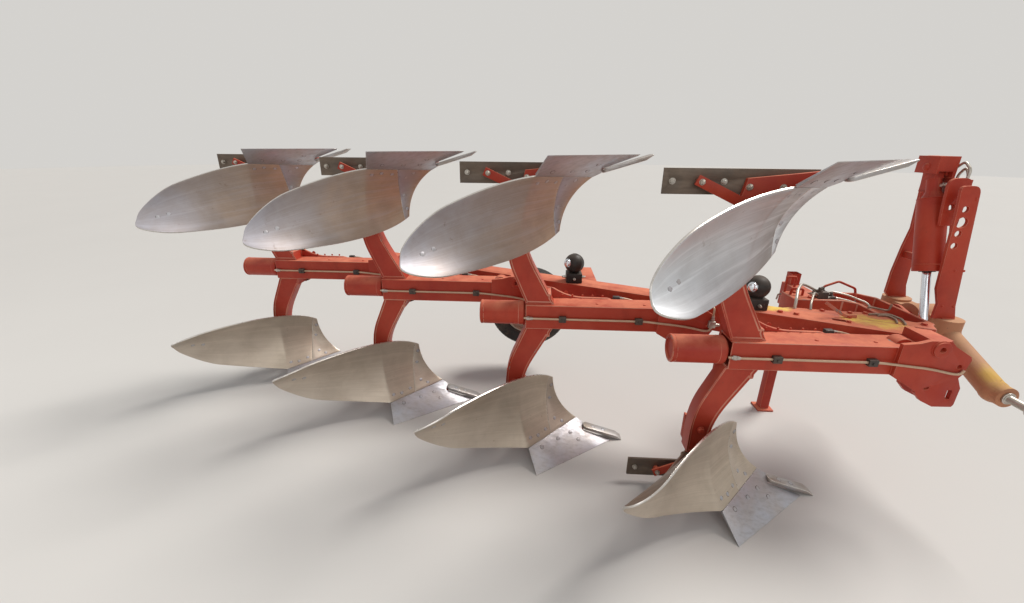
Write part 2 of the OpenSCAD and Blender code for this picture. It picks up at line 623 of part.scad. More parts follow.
// One arm of the cross piece: from the mast's round foot, down and out to the pin's boss
module yoke_arm(side, top_y) {
    mid_x = yoke_x + yoke_w / 2;
    top = [mid_x, top_y, mast_foot - slip - saddle_h];
    low = [mid_x, link_y + side * (link_span / 2 - yoke_r - 8), link_z];
    boss_y = link_y + side * (link_span / 2 - shank_len / 2);
    translate(top) cylinder(r = saddle_r, h = saddle_h, $fn = fine);
    translate(top) sphere(r = saddle_r + 3, $fn = fine);
    rod_between(top, low, yoke_r);
    translate(low) sphere(r = yoke_r + 3, $fn = fine);
    cross_bar(mid_x, boss_y - shank_len / 2, link_z, boss_r, shank_len);
}
module hub_yoke() {
    half = link_span / 2;
    placed() difference() {
        union() {
            long_bar(hub_x, turn_y, mid_z, hub_r, hub_len);
            translate([yoke_x, 0, 0]) rotate([90, 0, 90]) linear_extrude(yoke_w)
                polygon([[mast_near + 10, mast_foot - slip - 12], [mast_far, mast_foot - slip - 12], [mast_far, mid_z - 20],
                    [turn_y + 80, mid_z - 84], [turn_y - 80, mid_z - 84], [mast_near + 10, mid_z - 20]]);
            yoke_arm(-1, mast_near + 16);
            yoke_arm(1, mast_far + 4);
        }
        long_bar(hub_x - 6, turn_y, mid_z, shaft_r + bearing_gap, hub_len + 12);
        for (side = [0, 1])
            cross_bar(yoke_x + yoke_w / 2, link_y - half - 1 + side * (2 * half - shank_len), link_z,
                shank_r + 0.05, shank_len + 2);
    }
}
module link_pins() {
    half = link_span / 2;
    placed() for (side = [-1, 1]) translate([yoke_x + yoke_w / 2, link_y + side * half, link_z])
        rotate([-90 * side, 0, 0]) {
            translate([0, 0, 2 - shank_len]) cylinder(r = shank_r, h = shank_len, $fn = fine);
            translate([0, 0, slip]) cylinder(r = collar_r, h = collar_t, $fn = fine);
            cylinder(r = link_pin_r, h = slip + collar_t + pin_len, $fn = fine);
        }
}
rod_fall = [pivot_y - turn_y + crank_side, pivot_z - mid_z - crank_lift];
rod_lean = atan2(rod_fall[0], rod_fall[1]);
barrel_end = 545;  // lower end of the barrel, from its pivot
barrel_len = 380;
gland_len = 34;
module along_rod() { placed() translate([eye_x, pivot_y, pivot_z]) rotate([-rod_lean, 0, 0]) children(); }
module cylinder_barrel() {
    along_rod() difference() {
        union() {
            translate([0, 0, -barrel_end]) cylinder(d = barrel_d, h = barrel_len, $fn = fine);
            translate([0, 0, -barrel_end + barrel_len - 1]) cylinder(d1 = 100, d2 = 62, h = 40, $fn = fine);
            translate([0, 0, -130]) cylinder(d = 62, h = 68, $fn = fine);
            translate([-22, -30, -64]) cube([44, 60, 64]);
            translate([-22, 0, 0]) rotate([0, 90, 0]) cylinder(r = eye_r, h = 44, $fn = fine);
        }
        translate([-30, 0, 0]) rotate([0, 90, 0]) cylinder(r = pivot_r + bearing_gap, h = 60, $fn = fine);
        translate([0, 0, -barrel_end - 1]) cylinder(d = rod_d + 2 * bearing_gap, h = gland_len + 2, $fn = fine);
        translate([0, 0, -barrel_end + gland_len]) cylinder(d = barrel_d - 30, h = barrel_len - gland_len - 20, $fn = fine);
    }
}
module cylinder_rod() {
    reach = norm(rod_fall);
    along_rod() {
        translate([0, 0, -reach + 20]) cylinder(d = rod_d, h = reach - 20 - 425, $fn = fine);
        translate([0, 0, -reach + 20]) cylinder(d = eye_w, h = 34, $fn = fine);
        translate([-eye_w / 2, 0, -reach]) rotate([0, 90, 0]) cylinder(r = eye_r, h = eye_w, $fn = fine);
        translate([eye_w / 2, 0, -reach]) rotate([0, 90, 0]) cylinder(r = 17, h = 6, $fn = fine);
    }
}

color(steel_grey) station(1) moldboard();  // moldboard_1_lower
color(steel_grey) station(1) turned_up() moldboard();  // moldboard_1_upper
color(steel_grey) station(2) moldboard();  // moldboard_2_lower
color(steel_grey) station(2) turned_up() moldboard();  // moldboard_2_upper
color(steel_grey) station(3) moldboard();  // moldboard_3_lower
color(steel_grey) station(3) turned_up() moldboard();  // moldboard_3_upper
color(steel_grey) station(4) moldboard();  // moldboard_4_lower
color(steel_grey) station(4) turned_up() moldboard();  // moldboard_4_upper
color(steel_grey) station(1) both_ways() shin();  // shins_1
color(steel_grey) station(2) both_ways() shin();  // shins_2
color(steel_grey) station(3) both_ways() shin();  // shins_3
color(steel_grey) station(4) both_ways() shin();  // shins_4
color(steel_grey) station(1) both_ways() share();  // shares_1
color(steel_grey) station(2) both_ways() share();  // shares_2
color(steel_grey) station(3) both_ways() share();  // shares_3
color(steel_grey) station(4) both_ways() share();  // shares_4
color(paint_red) station(1) both_ways() frog();  // frogs_1
color(paint_red) station(2) both_ways() frog();  // frogs_2
color(paint_red) station(3) both_ways() frog();  // frogs_3
color(paint_red) station(4) both_ways() frog();  // frogs_4
color(paint_red) station(1) legs();  // legs_1
color(paint_red) station(2) legs();  // legs_2
color(paint_red) station(3) legs();  // legs_3
color(paint_red) station(4) legs();  // legs_4
color(paint_red) station(1) arm();  // arm_1
color(paint_red) station(2) arm();  // arm_2
color(paint_red) station(3) arm();  // arm_3
color(paint_red) station(4) arm();  // arm_4
color(paint_red) station(1) safety_cylinder();  // safety_cylinder_1
color(paint_red) station(2) safety_cylinder();  // safety_cylinder_2
color(paint_red) station(3) safety_cylinder();  // safety_cylinder_3
color(paint_red) station(4) safety_cylinder();  // safety_cylinder_4
color(dark_grey) stations() both_ways() landside_bar();  // landsides
color(steel_grey) stations() both_ways() point_bar();  // share_points
color(steel_grey) stations() both_ways() board_stay();  // board_stays
color(paint_red) stations() both_ways() landside_strut();  // landside_struts
color(steel_grey) stations() arm_pipe();  // arm_pipes
color(dark_grey) stations() for (x = clamp_at) pipe_clamp(x);  // pipe_clamps
color(paint_red) stations() console();  // consoles
color(paint_red) main_beam();
color(paint_red) front_frame();
color(paint_red) crank();
color(dark_grey) accumulators();
color(paint_red) wheel_bracket();
color(paint_red) stand_bracket();
color(paint_red) stand_leg();
color(paint_red) wheel_arm();
color(steel_grey) wheel_rim();
color(dark_grey) tyre();
color(paint_red) placed() near_plate();  // near_mast_plate
color(paint_red) placed() far_plate();  // far_mast_plate
color(paint_red) mast_head();
color(paint_red) mast_braces();
color(paint_red) hub_yoke();
color(steel_grey) link_pins();
color(paint_red) cylinder_barrel();
color(steel_grey) cylinder_rod();
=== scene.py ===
"""Looks of a four-furrow reversible moldboard plough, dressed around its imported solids.

Lengths in the layout are millimetres from the share point of the front station, as in the
part's source: X is the way of travel, Y is to the left of it and Z is up. The scene is metres.
"""

import json
import logging
import math
import random
from contextlib import contextmanager
from dataclasses import dataclass, field
from enum import Enum
from typing import Callable, Iterable, Iterator, Sequence

import bpy
from mathutils import Matrix, Vector

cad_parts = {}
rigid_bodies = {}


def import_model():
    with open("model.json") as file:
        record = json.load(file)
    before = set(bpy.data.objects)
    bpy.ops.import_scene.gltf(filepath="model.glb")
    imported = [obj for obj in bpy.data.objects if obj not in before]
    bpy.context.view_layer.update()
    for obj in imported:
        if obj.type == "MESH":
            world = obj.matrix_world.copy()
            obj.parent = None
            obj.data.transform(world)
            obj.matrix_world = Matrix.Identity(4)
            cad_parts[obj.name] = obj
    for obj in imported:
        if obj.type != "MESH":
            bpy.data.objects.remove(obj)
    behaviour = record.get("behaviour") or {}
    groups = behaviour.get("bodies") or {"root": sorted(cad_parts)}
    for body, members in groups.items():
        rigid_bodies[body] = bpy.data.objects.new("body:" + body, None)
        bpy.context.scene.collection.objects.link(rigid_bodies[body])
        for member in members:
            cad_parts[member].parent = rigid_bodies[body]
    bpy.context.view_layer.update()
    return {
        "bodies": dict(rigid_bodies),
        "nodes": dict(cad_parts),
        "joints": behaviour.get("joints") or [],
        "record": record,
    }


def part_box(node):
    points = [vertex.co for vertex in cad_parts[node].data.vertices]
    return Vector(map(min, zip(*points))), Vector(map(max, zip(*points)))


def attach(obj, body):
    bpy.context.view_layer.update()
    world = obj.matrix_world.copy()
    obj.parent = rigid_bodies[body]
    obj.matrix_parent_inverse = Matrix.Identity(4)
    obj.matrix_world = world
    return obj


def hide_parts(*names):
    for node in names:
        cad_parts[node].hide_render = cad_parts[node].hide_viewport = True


LOG = logging.getLogger("plough")
Colour = tuple[float, float, float]
Point = tuple[float, float, float]
Profile = Sequence[tuple[float, float]]
Piece = bpy.types.Object
Socket = bpy.types.NodeSocket

SCENE_ORIGIN = (-1655.0, 362.26)  # where the scene's origin lies in the layout
STATIONS = 4
PITCH = 960.0  # between stations, along the travel
FURROW = 408.0  # between stations, across the travel
MID_Z = 871.0  # height of the turnover axis
DECK_Z = 946.0  # top of the main beam
FRAME = "plough_frame"
AHEAD = Vector((1, 0, 0))
LEFT = Vector((0, 1, 0))
UP = Vector((0, 0, 1))
SEAM = (Vector((-291, 0, 118)), Vector((-592, -299, 97)))  # share and board meet between these


def at(x: float, y: float, z: float) -> Vector:
    """Returns a layout place in millimetres as a scene place in metres."""
    return Vector(((x - SCENE_ORIGIN[0]) / 1000.0, (y - SCENE_ORIGIN[1]) / 1000.0, z / 1000.0))


def shade(colour: Colour, share: float) -> Colour:
    """Returns a colour made darker or lighter by a share."""
    return tuple(share * part for part in colour)


def mixed(a: Vector, b: Vector, t: float) -> Vector:
    """Returns the point at share t between two points."""
    return a + (b - a) * t


def curved(p: Sequence[Vector], t: float) -> Vector:
    """Returns the point at share t of a curve with one control point."""
    return p[0] * (1 - t) ** 2 + p[1] * 2 * t * (1 - t) + p[2] * t * t


def eased(corners: Iterable[Point], reach: float, steps: int = 7) -> list[Vector]:
    """Rounds the corners of a route, by less where a leg is short.

    Args:
        corners: Ends and corners of the route, all in one unit.
        reach: Length of leg that a bend takes up.
        steps: Straight parts in a bend.

    Returns:
        The places of the rounded route.
    """
    route = [Vector(corner) for corner in corners]
    out = [route[0]]
    for before, corner, after in zip(route, route[1:], route[2:]):
        a, b = (corner + (end - corner).normalized() * min(reach, 0.48 * (end - corner).length)
                for end in (before, after))
        out += [curved((a, corner, b), k / steps) for k in range(steps + 1)]
    return out + [route[-1]]


@dataclass(frozen=True)
class Station:
    """One of the stations along the beam, with its body under or over the beam."""

    index: int
    upper: bool = False

    @property
    def name(self) -> str:
        """Name ending that this body's pieces share."""
        return f"{self.index}_{'upper' if self.upper else 'lower'}"

    def spot(self, x: float, y: float, z: float) -> Vector:
        """Returns the scene place of a point in this station's own millimetres."""
        step = self.index - 1
        return at(x - step * PITCH, y + step * FURROW, 2.0 * MID_Z - z if self.upper else z)

    def way(self, x: float, y: float, z: float) -> Vector:
        """Returns the scene direction of a direction given for a body under the beam."""
        return Vector((x, y, -z if self.upper else z)).normalized()


def every_station() -> list[Station]:
    """Returns the stations once each, for what isn't doubled over the beam."""
    return [Station(i + 1) for i in range(STATIONS)]


def every_body() -> list[Station]:
    """Returns both bodies of every station."""
    return [Station(i + 1, upper) for i in range(STATIONS) for upper in (False, True)]


class Graph:
    """Short calls that lay out a tree of shader nodes."""

    def __init__(self, tree: bpy.types.NodeTree) -> None:
        """Empties a tree and keeps it."""
        self.tree = tree
        tree.nodes.clear()

    def add(self, kind: str, feeds: dict[int | str, object], **settings: object) -> bpy.types.Node:
        """Adds a node.

        Args:
            kind: Blender's name of the node, without its prefix.
            feeds: For each input, a socket to link, a number, or a colour of three parts.
            settings: Settings of the node itself.

        Returns:
            The node.
        """
        node = self.tree.nodes.new(f"ShaderNode{kind}")
        for key, value in settings.items():
            setattr(node, key, value)
        for key, value in feeds.items():
            socket = node.inputs[key]
            if isinstance(value, Socket):
                self.tree.links.new(value, socket)
            else:
                socket.default_value = (*value, 1.0) if socket.type == "RGBA" else value
        return node

    def calc(self, operation: str, first: object, second: object) -> Socket:
        """Returns the result of one sum on two values."""
        return self.add("Math", {0: first, 1: second}, operation=operation).outputs[0]

    def times(self, first: object, second: object) -> Socket:
        """Returns the product of two values."""
        return self.calc("MULTIPLY", first, second)

    def plus(self, first: object, second: object) -> Socket:
        """Returns the sum of two values."""
        return self.calc("ADD", first, second)

    def span(self, value: Socket, low: float, high: float, out_low: float = 0.0, out_high: float = 1.0) -> Socket:
        """Returns a value carried from one range to another, and held inside it."""
        return self.add("MapRange", {"Value": value, "From Min": low, "From Max": high, "To Min": out_low,
                                     "To Max": out_high}).outputs[0]

    def mix(self, factor: Socket, first: object, second: object) -> Socket:
        """Returns a colour between two colours."""
        return self.add("Mix", {0: factor, 6: first, 7: second}, data_type="RGBA").outputs[2]

    def part(self, vector: Socket, axis: str) -> Socket:
        """Returns one part of a vector."""
        return self.add("SeparateXYZ", {0: vector}).outputs[axis]

    def noise(self, where: Socket, scale: float, detail: float = 3.0, rough: float = 0.55,
              warp: float = 0.0) -> Socket:
        """Returns a cloudy pattern between 0 and 1."""
        return self.add("TexNoise", {"Vector": where, "Scale": scale, "Detail": detail, "Roughness": rough,
                                     "Distortion": warp}).outputs["Fac"]

    def bump(self, height: Socket, strength: float, depth: float) -> Socket:
        """Returns a normal raised by a height pattern."""
        return self.add("Bump", {"Height": height, "Strength": strength, "Distance": depth}).outputs[0]

    def ramp(self, value: Socket, stops: Sequence[tuple[float, Colour]]) -> Socket:
        """Runs a value through a row of colours.

        Args:
            value: Value between 0 and 1.
            stops: Place and colour of each stop.

        Returns:
            The colour.
        """
        node = self.add("ValToRGB", {0: value})
        marks = node.color_ramp.elements
        while len(marks) < len(stops):
            marks.new(0.5)
        for mark, (where, colour) in zip(marks, stops):
            mark.position = where
            mark.color = (*colour, 1.0)
        return node.outputs[0]


class Surface(Graph):
    """Graph of one material, with its coordinates."""

    def __init__(self, name: str) -> None:
        """Starts a material.

        Args:
            name: Name of the material.
        """
        self.material = bpy.data.materials.new(name)
        self.material.use_nodes = True
        super().__init__(self.material.node_tree)
        self.coordinates = self.add("TexCoord", {}).outputs

    def place(self, source: str = "Object", scale: Point = (1, 1, 1), turn: Point = (0, 0, 0)) -> Socket:
        """Returns coordinates that are turned, then stretched."""
        return self.add("Mapping", {"Vector": self.coordinates[source], "Rotation": turn, "Scale": scale}).outputs[0]

    def near(self, where: Vector, reach: float, ragged: Socket) -> Socket:
        """Marks the surroundings of a place.

        Args:
            where: Place in the scene.
            reach: Distance in metres.
            ragged: Pattern that frays the rim.

        Returns:
            A value of 1 round the place, and of 0 far from it.
        """
        node = self.add("VectorMath", {0: self.coordinates["Object"], 1: where}, operation="DISTANCE")
        far = self.plus(node.outputs["Value"], self.times(ragged, reach * 1.3))
        return self.span(far, reach * 1.12, reach * 1.50, 1.0, 0.0)

    def dress(self, colour: Socket, rough: object, metal: float = 0.0, normal: Socket | None = None,
              specular: float = 0.5) -> bpy.types.Material:
        """Adds the shader and the output.

        Args:
            colour: Colour over the surface.
            rough: Roughness, as a number or a pattern.
            metal: Share of metal.
            normal: Normal that a bump has raised.
            specular: Strength of the plain reflection.

        Returns:
            The material.
        """
        feeds = {"Base Color": colour, "Roughness": rough, "Metallic": metal, "Specular IOR Level": specular}
        if normal is not None:
            feeds["Normal"] = normal
        self.add("OutputMaterial", {0: self.add("BsdfPrincipled", feeds).outputs[0]})
        return self.material


@dataclass(frozen=True)
class Paint:
    """Sprayed enamel that has faded, gathered dust on what faces up, and chipped to the steel; the light film on
    upward faces also paints sunlight on the tops.
    """

    name: str
    fresh: Colour
    faded: Colour
    # Colour of the film on upward faces: dust, and painted sunlight that lightens the tops
    dust: Colour = (0.84, 0.29, 0.17)
    dusty_and_sunlit: float = 0.80
    chip: Colour = (0.16, 0.07, 0.04)
    chipped: float = 0.66
    gloss: float = 0.36
    patch: Colour = (0.88, 0.60, 0.13)
    patches: tuple[tuple[Point, float], ...] = ()  # layout place, reach in metres
    slot: str = "red_paint"

    def build(self) -> bpy.types.Material:
        """Returns the paint's material."""
        g = Surface(self.name)
        here = g.place()
        grime = g.noise(g.place(scale=(9, 9, 5)), 1.0, 7.0, 0.66)
        cloud = g.noise(here, 9.0, 6.0, 0.62)
        flakes = g.noise(here, 21.0, 9.0, 0.80)
        up = g.span(g.part(g.coordinates["Normal"], "Z"), 0.35, 0.95)
        colour = g.mix(g.span(g.noise(here, 2.6, 4.0), 0.36, 0.66), self.fresh, self.faded)
        colour = g.mix(g.span(grime, 0.50, 0.74, 0.0, 0.38), colour, shade(self.fresh, 0.42))
        # Film on upward faces: real dust and painted sunlight, so the tops come out lighter
        film = g.times(g.plus(g.times(up, 0.85), 0.12), g.span(cloud, 0.20, 0.62))
        film = g.times(film, self.dusty_and_sunlit)
        colour = g.mix(film, colour, self.dust)
        for where, reach in self.patches:
            spot = g.times(g.near(at(*where), reach, flakes), up)
            colour = g.mix(g.times(spot, g.span(grime, 0.40, 0.58, 1.0, 0.35)), colour, self.patch)
        grain = g.noise(here, 46.0, 8.0, 0.68)
        worn = g.times(g.span(grain, self.chipped, self.chipped + 0.03), g.span(cloud, 0.5, 0.62))
        colour = g.mix(worn, colour, self.chip)
        rough = g.plus(g.span(cloud, 0.3, 0.7, self.gloss, self.gloss + 0.14), g.times(film, 0.55))
        height = g.plus(g.times(g.noise(here, 210.0, 2.0), 0.3), g.times(worn, -0.7))
        return g.dress(colour, rough, 0.0, g.bump(height, 0.25, 0.0008), 0.30)


@dataclass(frozen=True)
class Metal:
    """Bare metal with a film of soil or rust in clouds, and a grain along one axis."""

    name: str
    bright: Colour
    film: Colour
    filmed: float = 0.5
    rough: float = 0.36
    metal: float = 0.85
    grain: Point = (60, 60, 60)
    bite: float = 0.25
    streak: float = 0.35
    slot: str = "plain_steel"

    def build(self) -> bpy.types.Material:
        """Returns the metal's material."""
        g = Surface(self.name)
        cloud = g.noise(g.place(), 7.0, 6.0, 0.62)
        lines = g.noise(g.place(scale=self.grain), 1.0, 5.0, 0.6)
        cover = g.times(g.span(cloud, 0.34, 0.68), self.filmed * 1.4)
        colour = g.mix(g.calc("MINIMUM", cover, 1.0), self.bright, self.film)
        colour = g.mix(g.span(lines, 0.45, 0.8, 0.0, self.streak), colour, shade(self.film, 0.45))
        rough = g.plus(g.span(lines, 0.3, 0.7, self.rough - 0.07, self.rough + 0.1), g.times(cover, 0.2))
        return g.dress(colour, rough, self.metal, g.bump(lines, self.bite, 0.0005))


@dataclass(frozen=True)
class BoardSteel:
    """Board steel that the soil has polished, on the plate's own map: U from shin to tail, V upwards. Its colour run
    from shin to tail is partly painted reflection, and streaks of the tail colour are painted glints.
    """

    name: str
    shin: Colour
    middle: Colour
    tail: Colour
    stain: Colour = (0.27, 0.21, 0.16)
    stained: float = 0.35
    glint: float = 0.30
    rough: float = 0.40
    nick: Colour = (0.74, 0.74, 0.76)
    rust: Colour = (0.20, 0.11, 0.065)
    slot: str = "polished_steel"

    def build(self) -> bpy.types.Material:
        """Returns the board steel's material."""
        g = Surface(self.name)
        wash = g.noise(g.place(), 2.2, 4.0, 0.55, 0.6)
        run = g.plus(g.part(g.coordinates["UV"], "X"), g.span(wash, 0.25, 0.75, -0.28, 0.28))
        # Colour run from shin to tail: the steel's tone, with painted reflection of warm ground at the shin and pale
        # sky at the tail
        colour = g.ramp(run, [(0.02, self.shin), (0.42, self.middle), (0.9, self.tail)])
        flow = g.noise(g.place("UV", (2.4, 78.0, 1.0), (0, 0, 0.10)), 1.0, 6.0, 0.62, 0.2)
        glint_streaks = g.noise(g.place("UV", (1.5, 11.0, 1.0), (0, 0, 0.24)), 1.0, 4.0, 0.55, 0.5)
        cloud = g.noise(g.place(), 6.0, 6.0, 0.62, 0.4)
        colour = g.mix(g.times(g.span(cloud, 0.40, 0.66), self.stained), colour, self.stain)
        colour = g.mix(g.span(flow, 0.45, 0.80, 0.0, 0.22), colour, shade(self.middle, 0.62))
        # Painted highlight: streaks lightened towards the tail colour
        colour = g.mix(g.span(glint_streaks, 0.50, 0.80, 0.0, self.glint), colour, shade(self.tail, 1.45))
        cuts = g.span(g.noise(g.place("UV", (24.0, 190.0, 1.0), (0, 0, 0.75)), 1.0, 3.0, 0.5), 0.69, 0.75)
        colour = g.mix(g.times(cuts, 0.40), colour, self.nick)
        rust = g.times(g.span(g.noise(g.place(), 19.0, 8.0, 0.7), 0.63, 0.74), 0.40)
        colour = g.mix(rust, colour, self.rust)
        rough = g.plus(g.span(flow, 0.3, 0.7, self.rough - 0.05, self.rough + 0.09), g.times(rust, 0.35))
        height = g.plus(g.times(flow, 0.5), g.times(cuts, -0.5))
        return g.dress(colour, rough, 0.90, g.bump(height, 0.20, 0.0004))


@dataclass(frozen=True)
class Rubber:
    """Tyre or seal rubber, with dust in its hollows."""

    name: str
    base: Colour = (0.020, 0.019, 0.018)
    dust: Colour = (0.20, 0.15, 0.11)
    slot: str = "tyre"

    def build(self) -> bpy.types.Material:
        """Returns the rubber's material."""
        g = Surface(self.name)
        cloud = g.noise(g.place(), 14.0, 6.0, 0.65)
        colour = g.mix(g.span(cloud, 0.42, 0.72, 0.0, 0.6), self.base, self.dust)
        rough = g.span(cloud, 0.3, 0.7, 0.62, 0.88)
        return g.dress(colour, rough, 0.0, g.bump(g.noise(g.place(), 260.0, 3.0), 0.35, 0.0006))


class Look(Enum):
    """Finishes of the plough, each with the recipe that builds it."""

    RED = Paint("red_enamel", (0.39, 0.022, 0.010), (0.47, 0.044, 0.018))
    FRAME_RED = Paint(
        "frame_enamel", (0.40, 0.024, 0.011), (0.50, 0.064, 0.026), dusty_and_sunlit=0.92,
        patches=(((-246, 350, 946), 0.11), ((-180, 322, 946), 0.08), ((165, 170, 946), 0.12),
                 ((215, 120, 946), 0.10), ((280, 130, 946), 0.08), ((110, 185, 946), 0.07)))
    # Worn edges with painted highlight: the rounded edges are lightened to pinkish orange as if the sun catches them
    EDGE = Paint("worn_and_lit_edge", (0.53, 0.092, 0.050), (0.70, 0.36, 0.25), dusty_and_sunlit=0.5, chipped=0.55,
                 chip=(0.34, 0.29, 0.25))
    SADDLE = Paint(
        "worn_saddle", (0.49, 0.185, 0.090), (0.50, 0.270, 0.150), dust=(0.66, 0.40, 0.235), dusty_and_sunlit=0.8,
        chipped=0.62, gloss=0.46, patch=(0.66, 0.41, 0.10),
        patches=(((655, -60, 775), 0.10), ((655, -105, 745), 0.10)), slot="worn_paint")
    BLACK = Paint("black_enamel", (0.016, 0.015, 0.014), (0.034, 0.030, 0.027), (0.22, 0.16, 0.12), 0.40,
                  (0.2, 0.18, 0.16), slot="black_paint")
    CREAM = Paint("cream_enamel", (0.58, 0.53, 0.44), (0.50, 0.44, 0.34), dusty_and_sunlit=0.55, chipped=0.62,
                  slot="rim_paint")
    # Front upper board: painted sun patch and shade, dark at the shin and bright bluish at the tail
    BOARD_FRONT = BoardSteel("scratched_board_steel", (0.40, 0.385, 0.38), (0.54, 0.555, 0.585),
                             (0.72, 0.745, 0.78), stained=0.14, glint=0.5)
    # Upper boards: painted reflection, warm at the shin and bluish at the tail
    BOARD_HIGH = BoardSteel("dull_board_steel", (0.52, 0.385, 0.285), (0.43, 0.37, 0.34), (0.42, 0.415, 0.46),
                            rough=0.54)
    BOARD_LOW = BoardSteel("tanned_board_steel", (0.54, 0.465, 0.375), (0.54, 0.465, 0.385),
                           (0.58, 0.51, 0.435), stained=0.28, rough=0.46)
    RIM = Metal("bright_rim", (0.70, 0.68, 0.65), (0.44, 0.36, 0.28), 0.25, 0.26, 0.95, (30, 30, 30), 0.1)
    # The bluish cast of the share steel is painted cool shade
    SHARE = Metal("share_steel", (0.46, 0.47, 0.52), (0.44, 0.37, 0.31), 0.36, 0.38, 0.85, (16, 60, 60),
                  slot="share_steel")
    POINT = Metal("point_steel", (0.45, 0.44, 0.45), (0.33, 0.25, 0.18), 0.5, 0.38, 0.85, (12, 70, 70), 0.4,
                  slot="share_steel")
    DARK = Metal("dark_steel", (0.070, 0.062, 0.058), (0.17, 0.11, 0.075), 0.45, 0.52, 0.55, (40, 40, 40), 0.3,
                 slot="dark_steel")
    LANDSIDE = Metal("landside_steel", (0.125, 0.100, 0.082), (0.25, 0.185, 0.135), 0.5, 0.50, 0.6,
                     (14, 40, 60), 0.3, slot="dark_steel")
    BACK = Metal("board_back_steel", (0.27, 0.235, 0.205), (0.27, 0.175, 0.115), 0.7, 0.52, 0.6,
                 (10, 30, 30), 0.3)
    STAY = Metal("stay_steel", (0.36, 0.27, 0.21), (0.30, 0.20, 0.14), 0.6, 0.50, 0.6, (30, 30, 30), 0.3)
    PIPE = Metal("pipe_plating", (0.62, 0.43, 0.29), (0.48, 0.32, 0.21), 0.40, 0.38, 0.30, (30, 30, 30), 0.1,
                 0.2)
    ZINC = Metal("zinc_plating", (0.56, 0.54, 0.50), (0.36, 0.28, 0.20), 0.4, 0.34, 0.85, (50, 50, 50), 0.15)
    # The bluish cast of the chrome is a painted reflection of the sky
    CHROME = Metal("hard_chrome", (0.74, 0.77, 0.82), (0.60, 0.60, 0.62), 0.10, 0.13, 1.0, (4, 4, 30), 0.0,
                   0.05, slot="chrome_rod")
    TYRE = Rubber("tyre_rubber")
    SEAL = Rubber("seal_rubber", dust=(0.09, 0.07, 0.055), slot="black_paint")


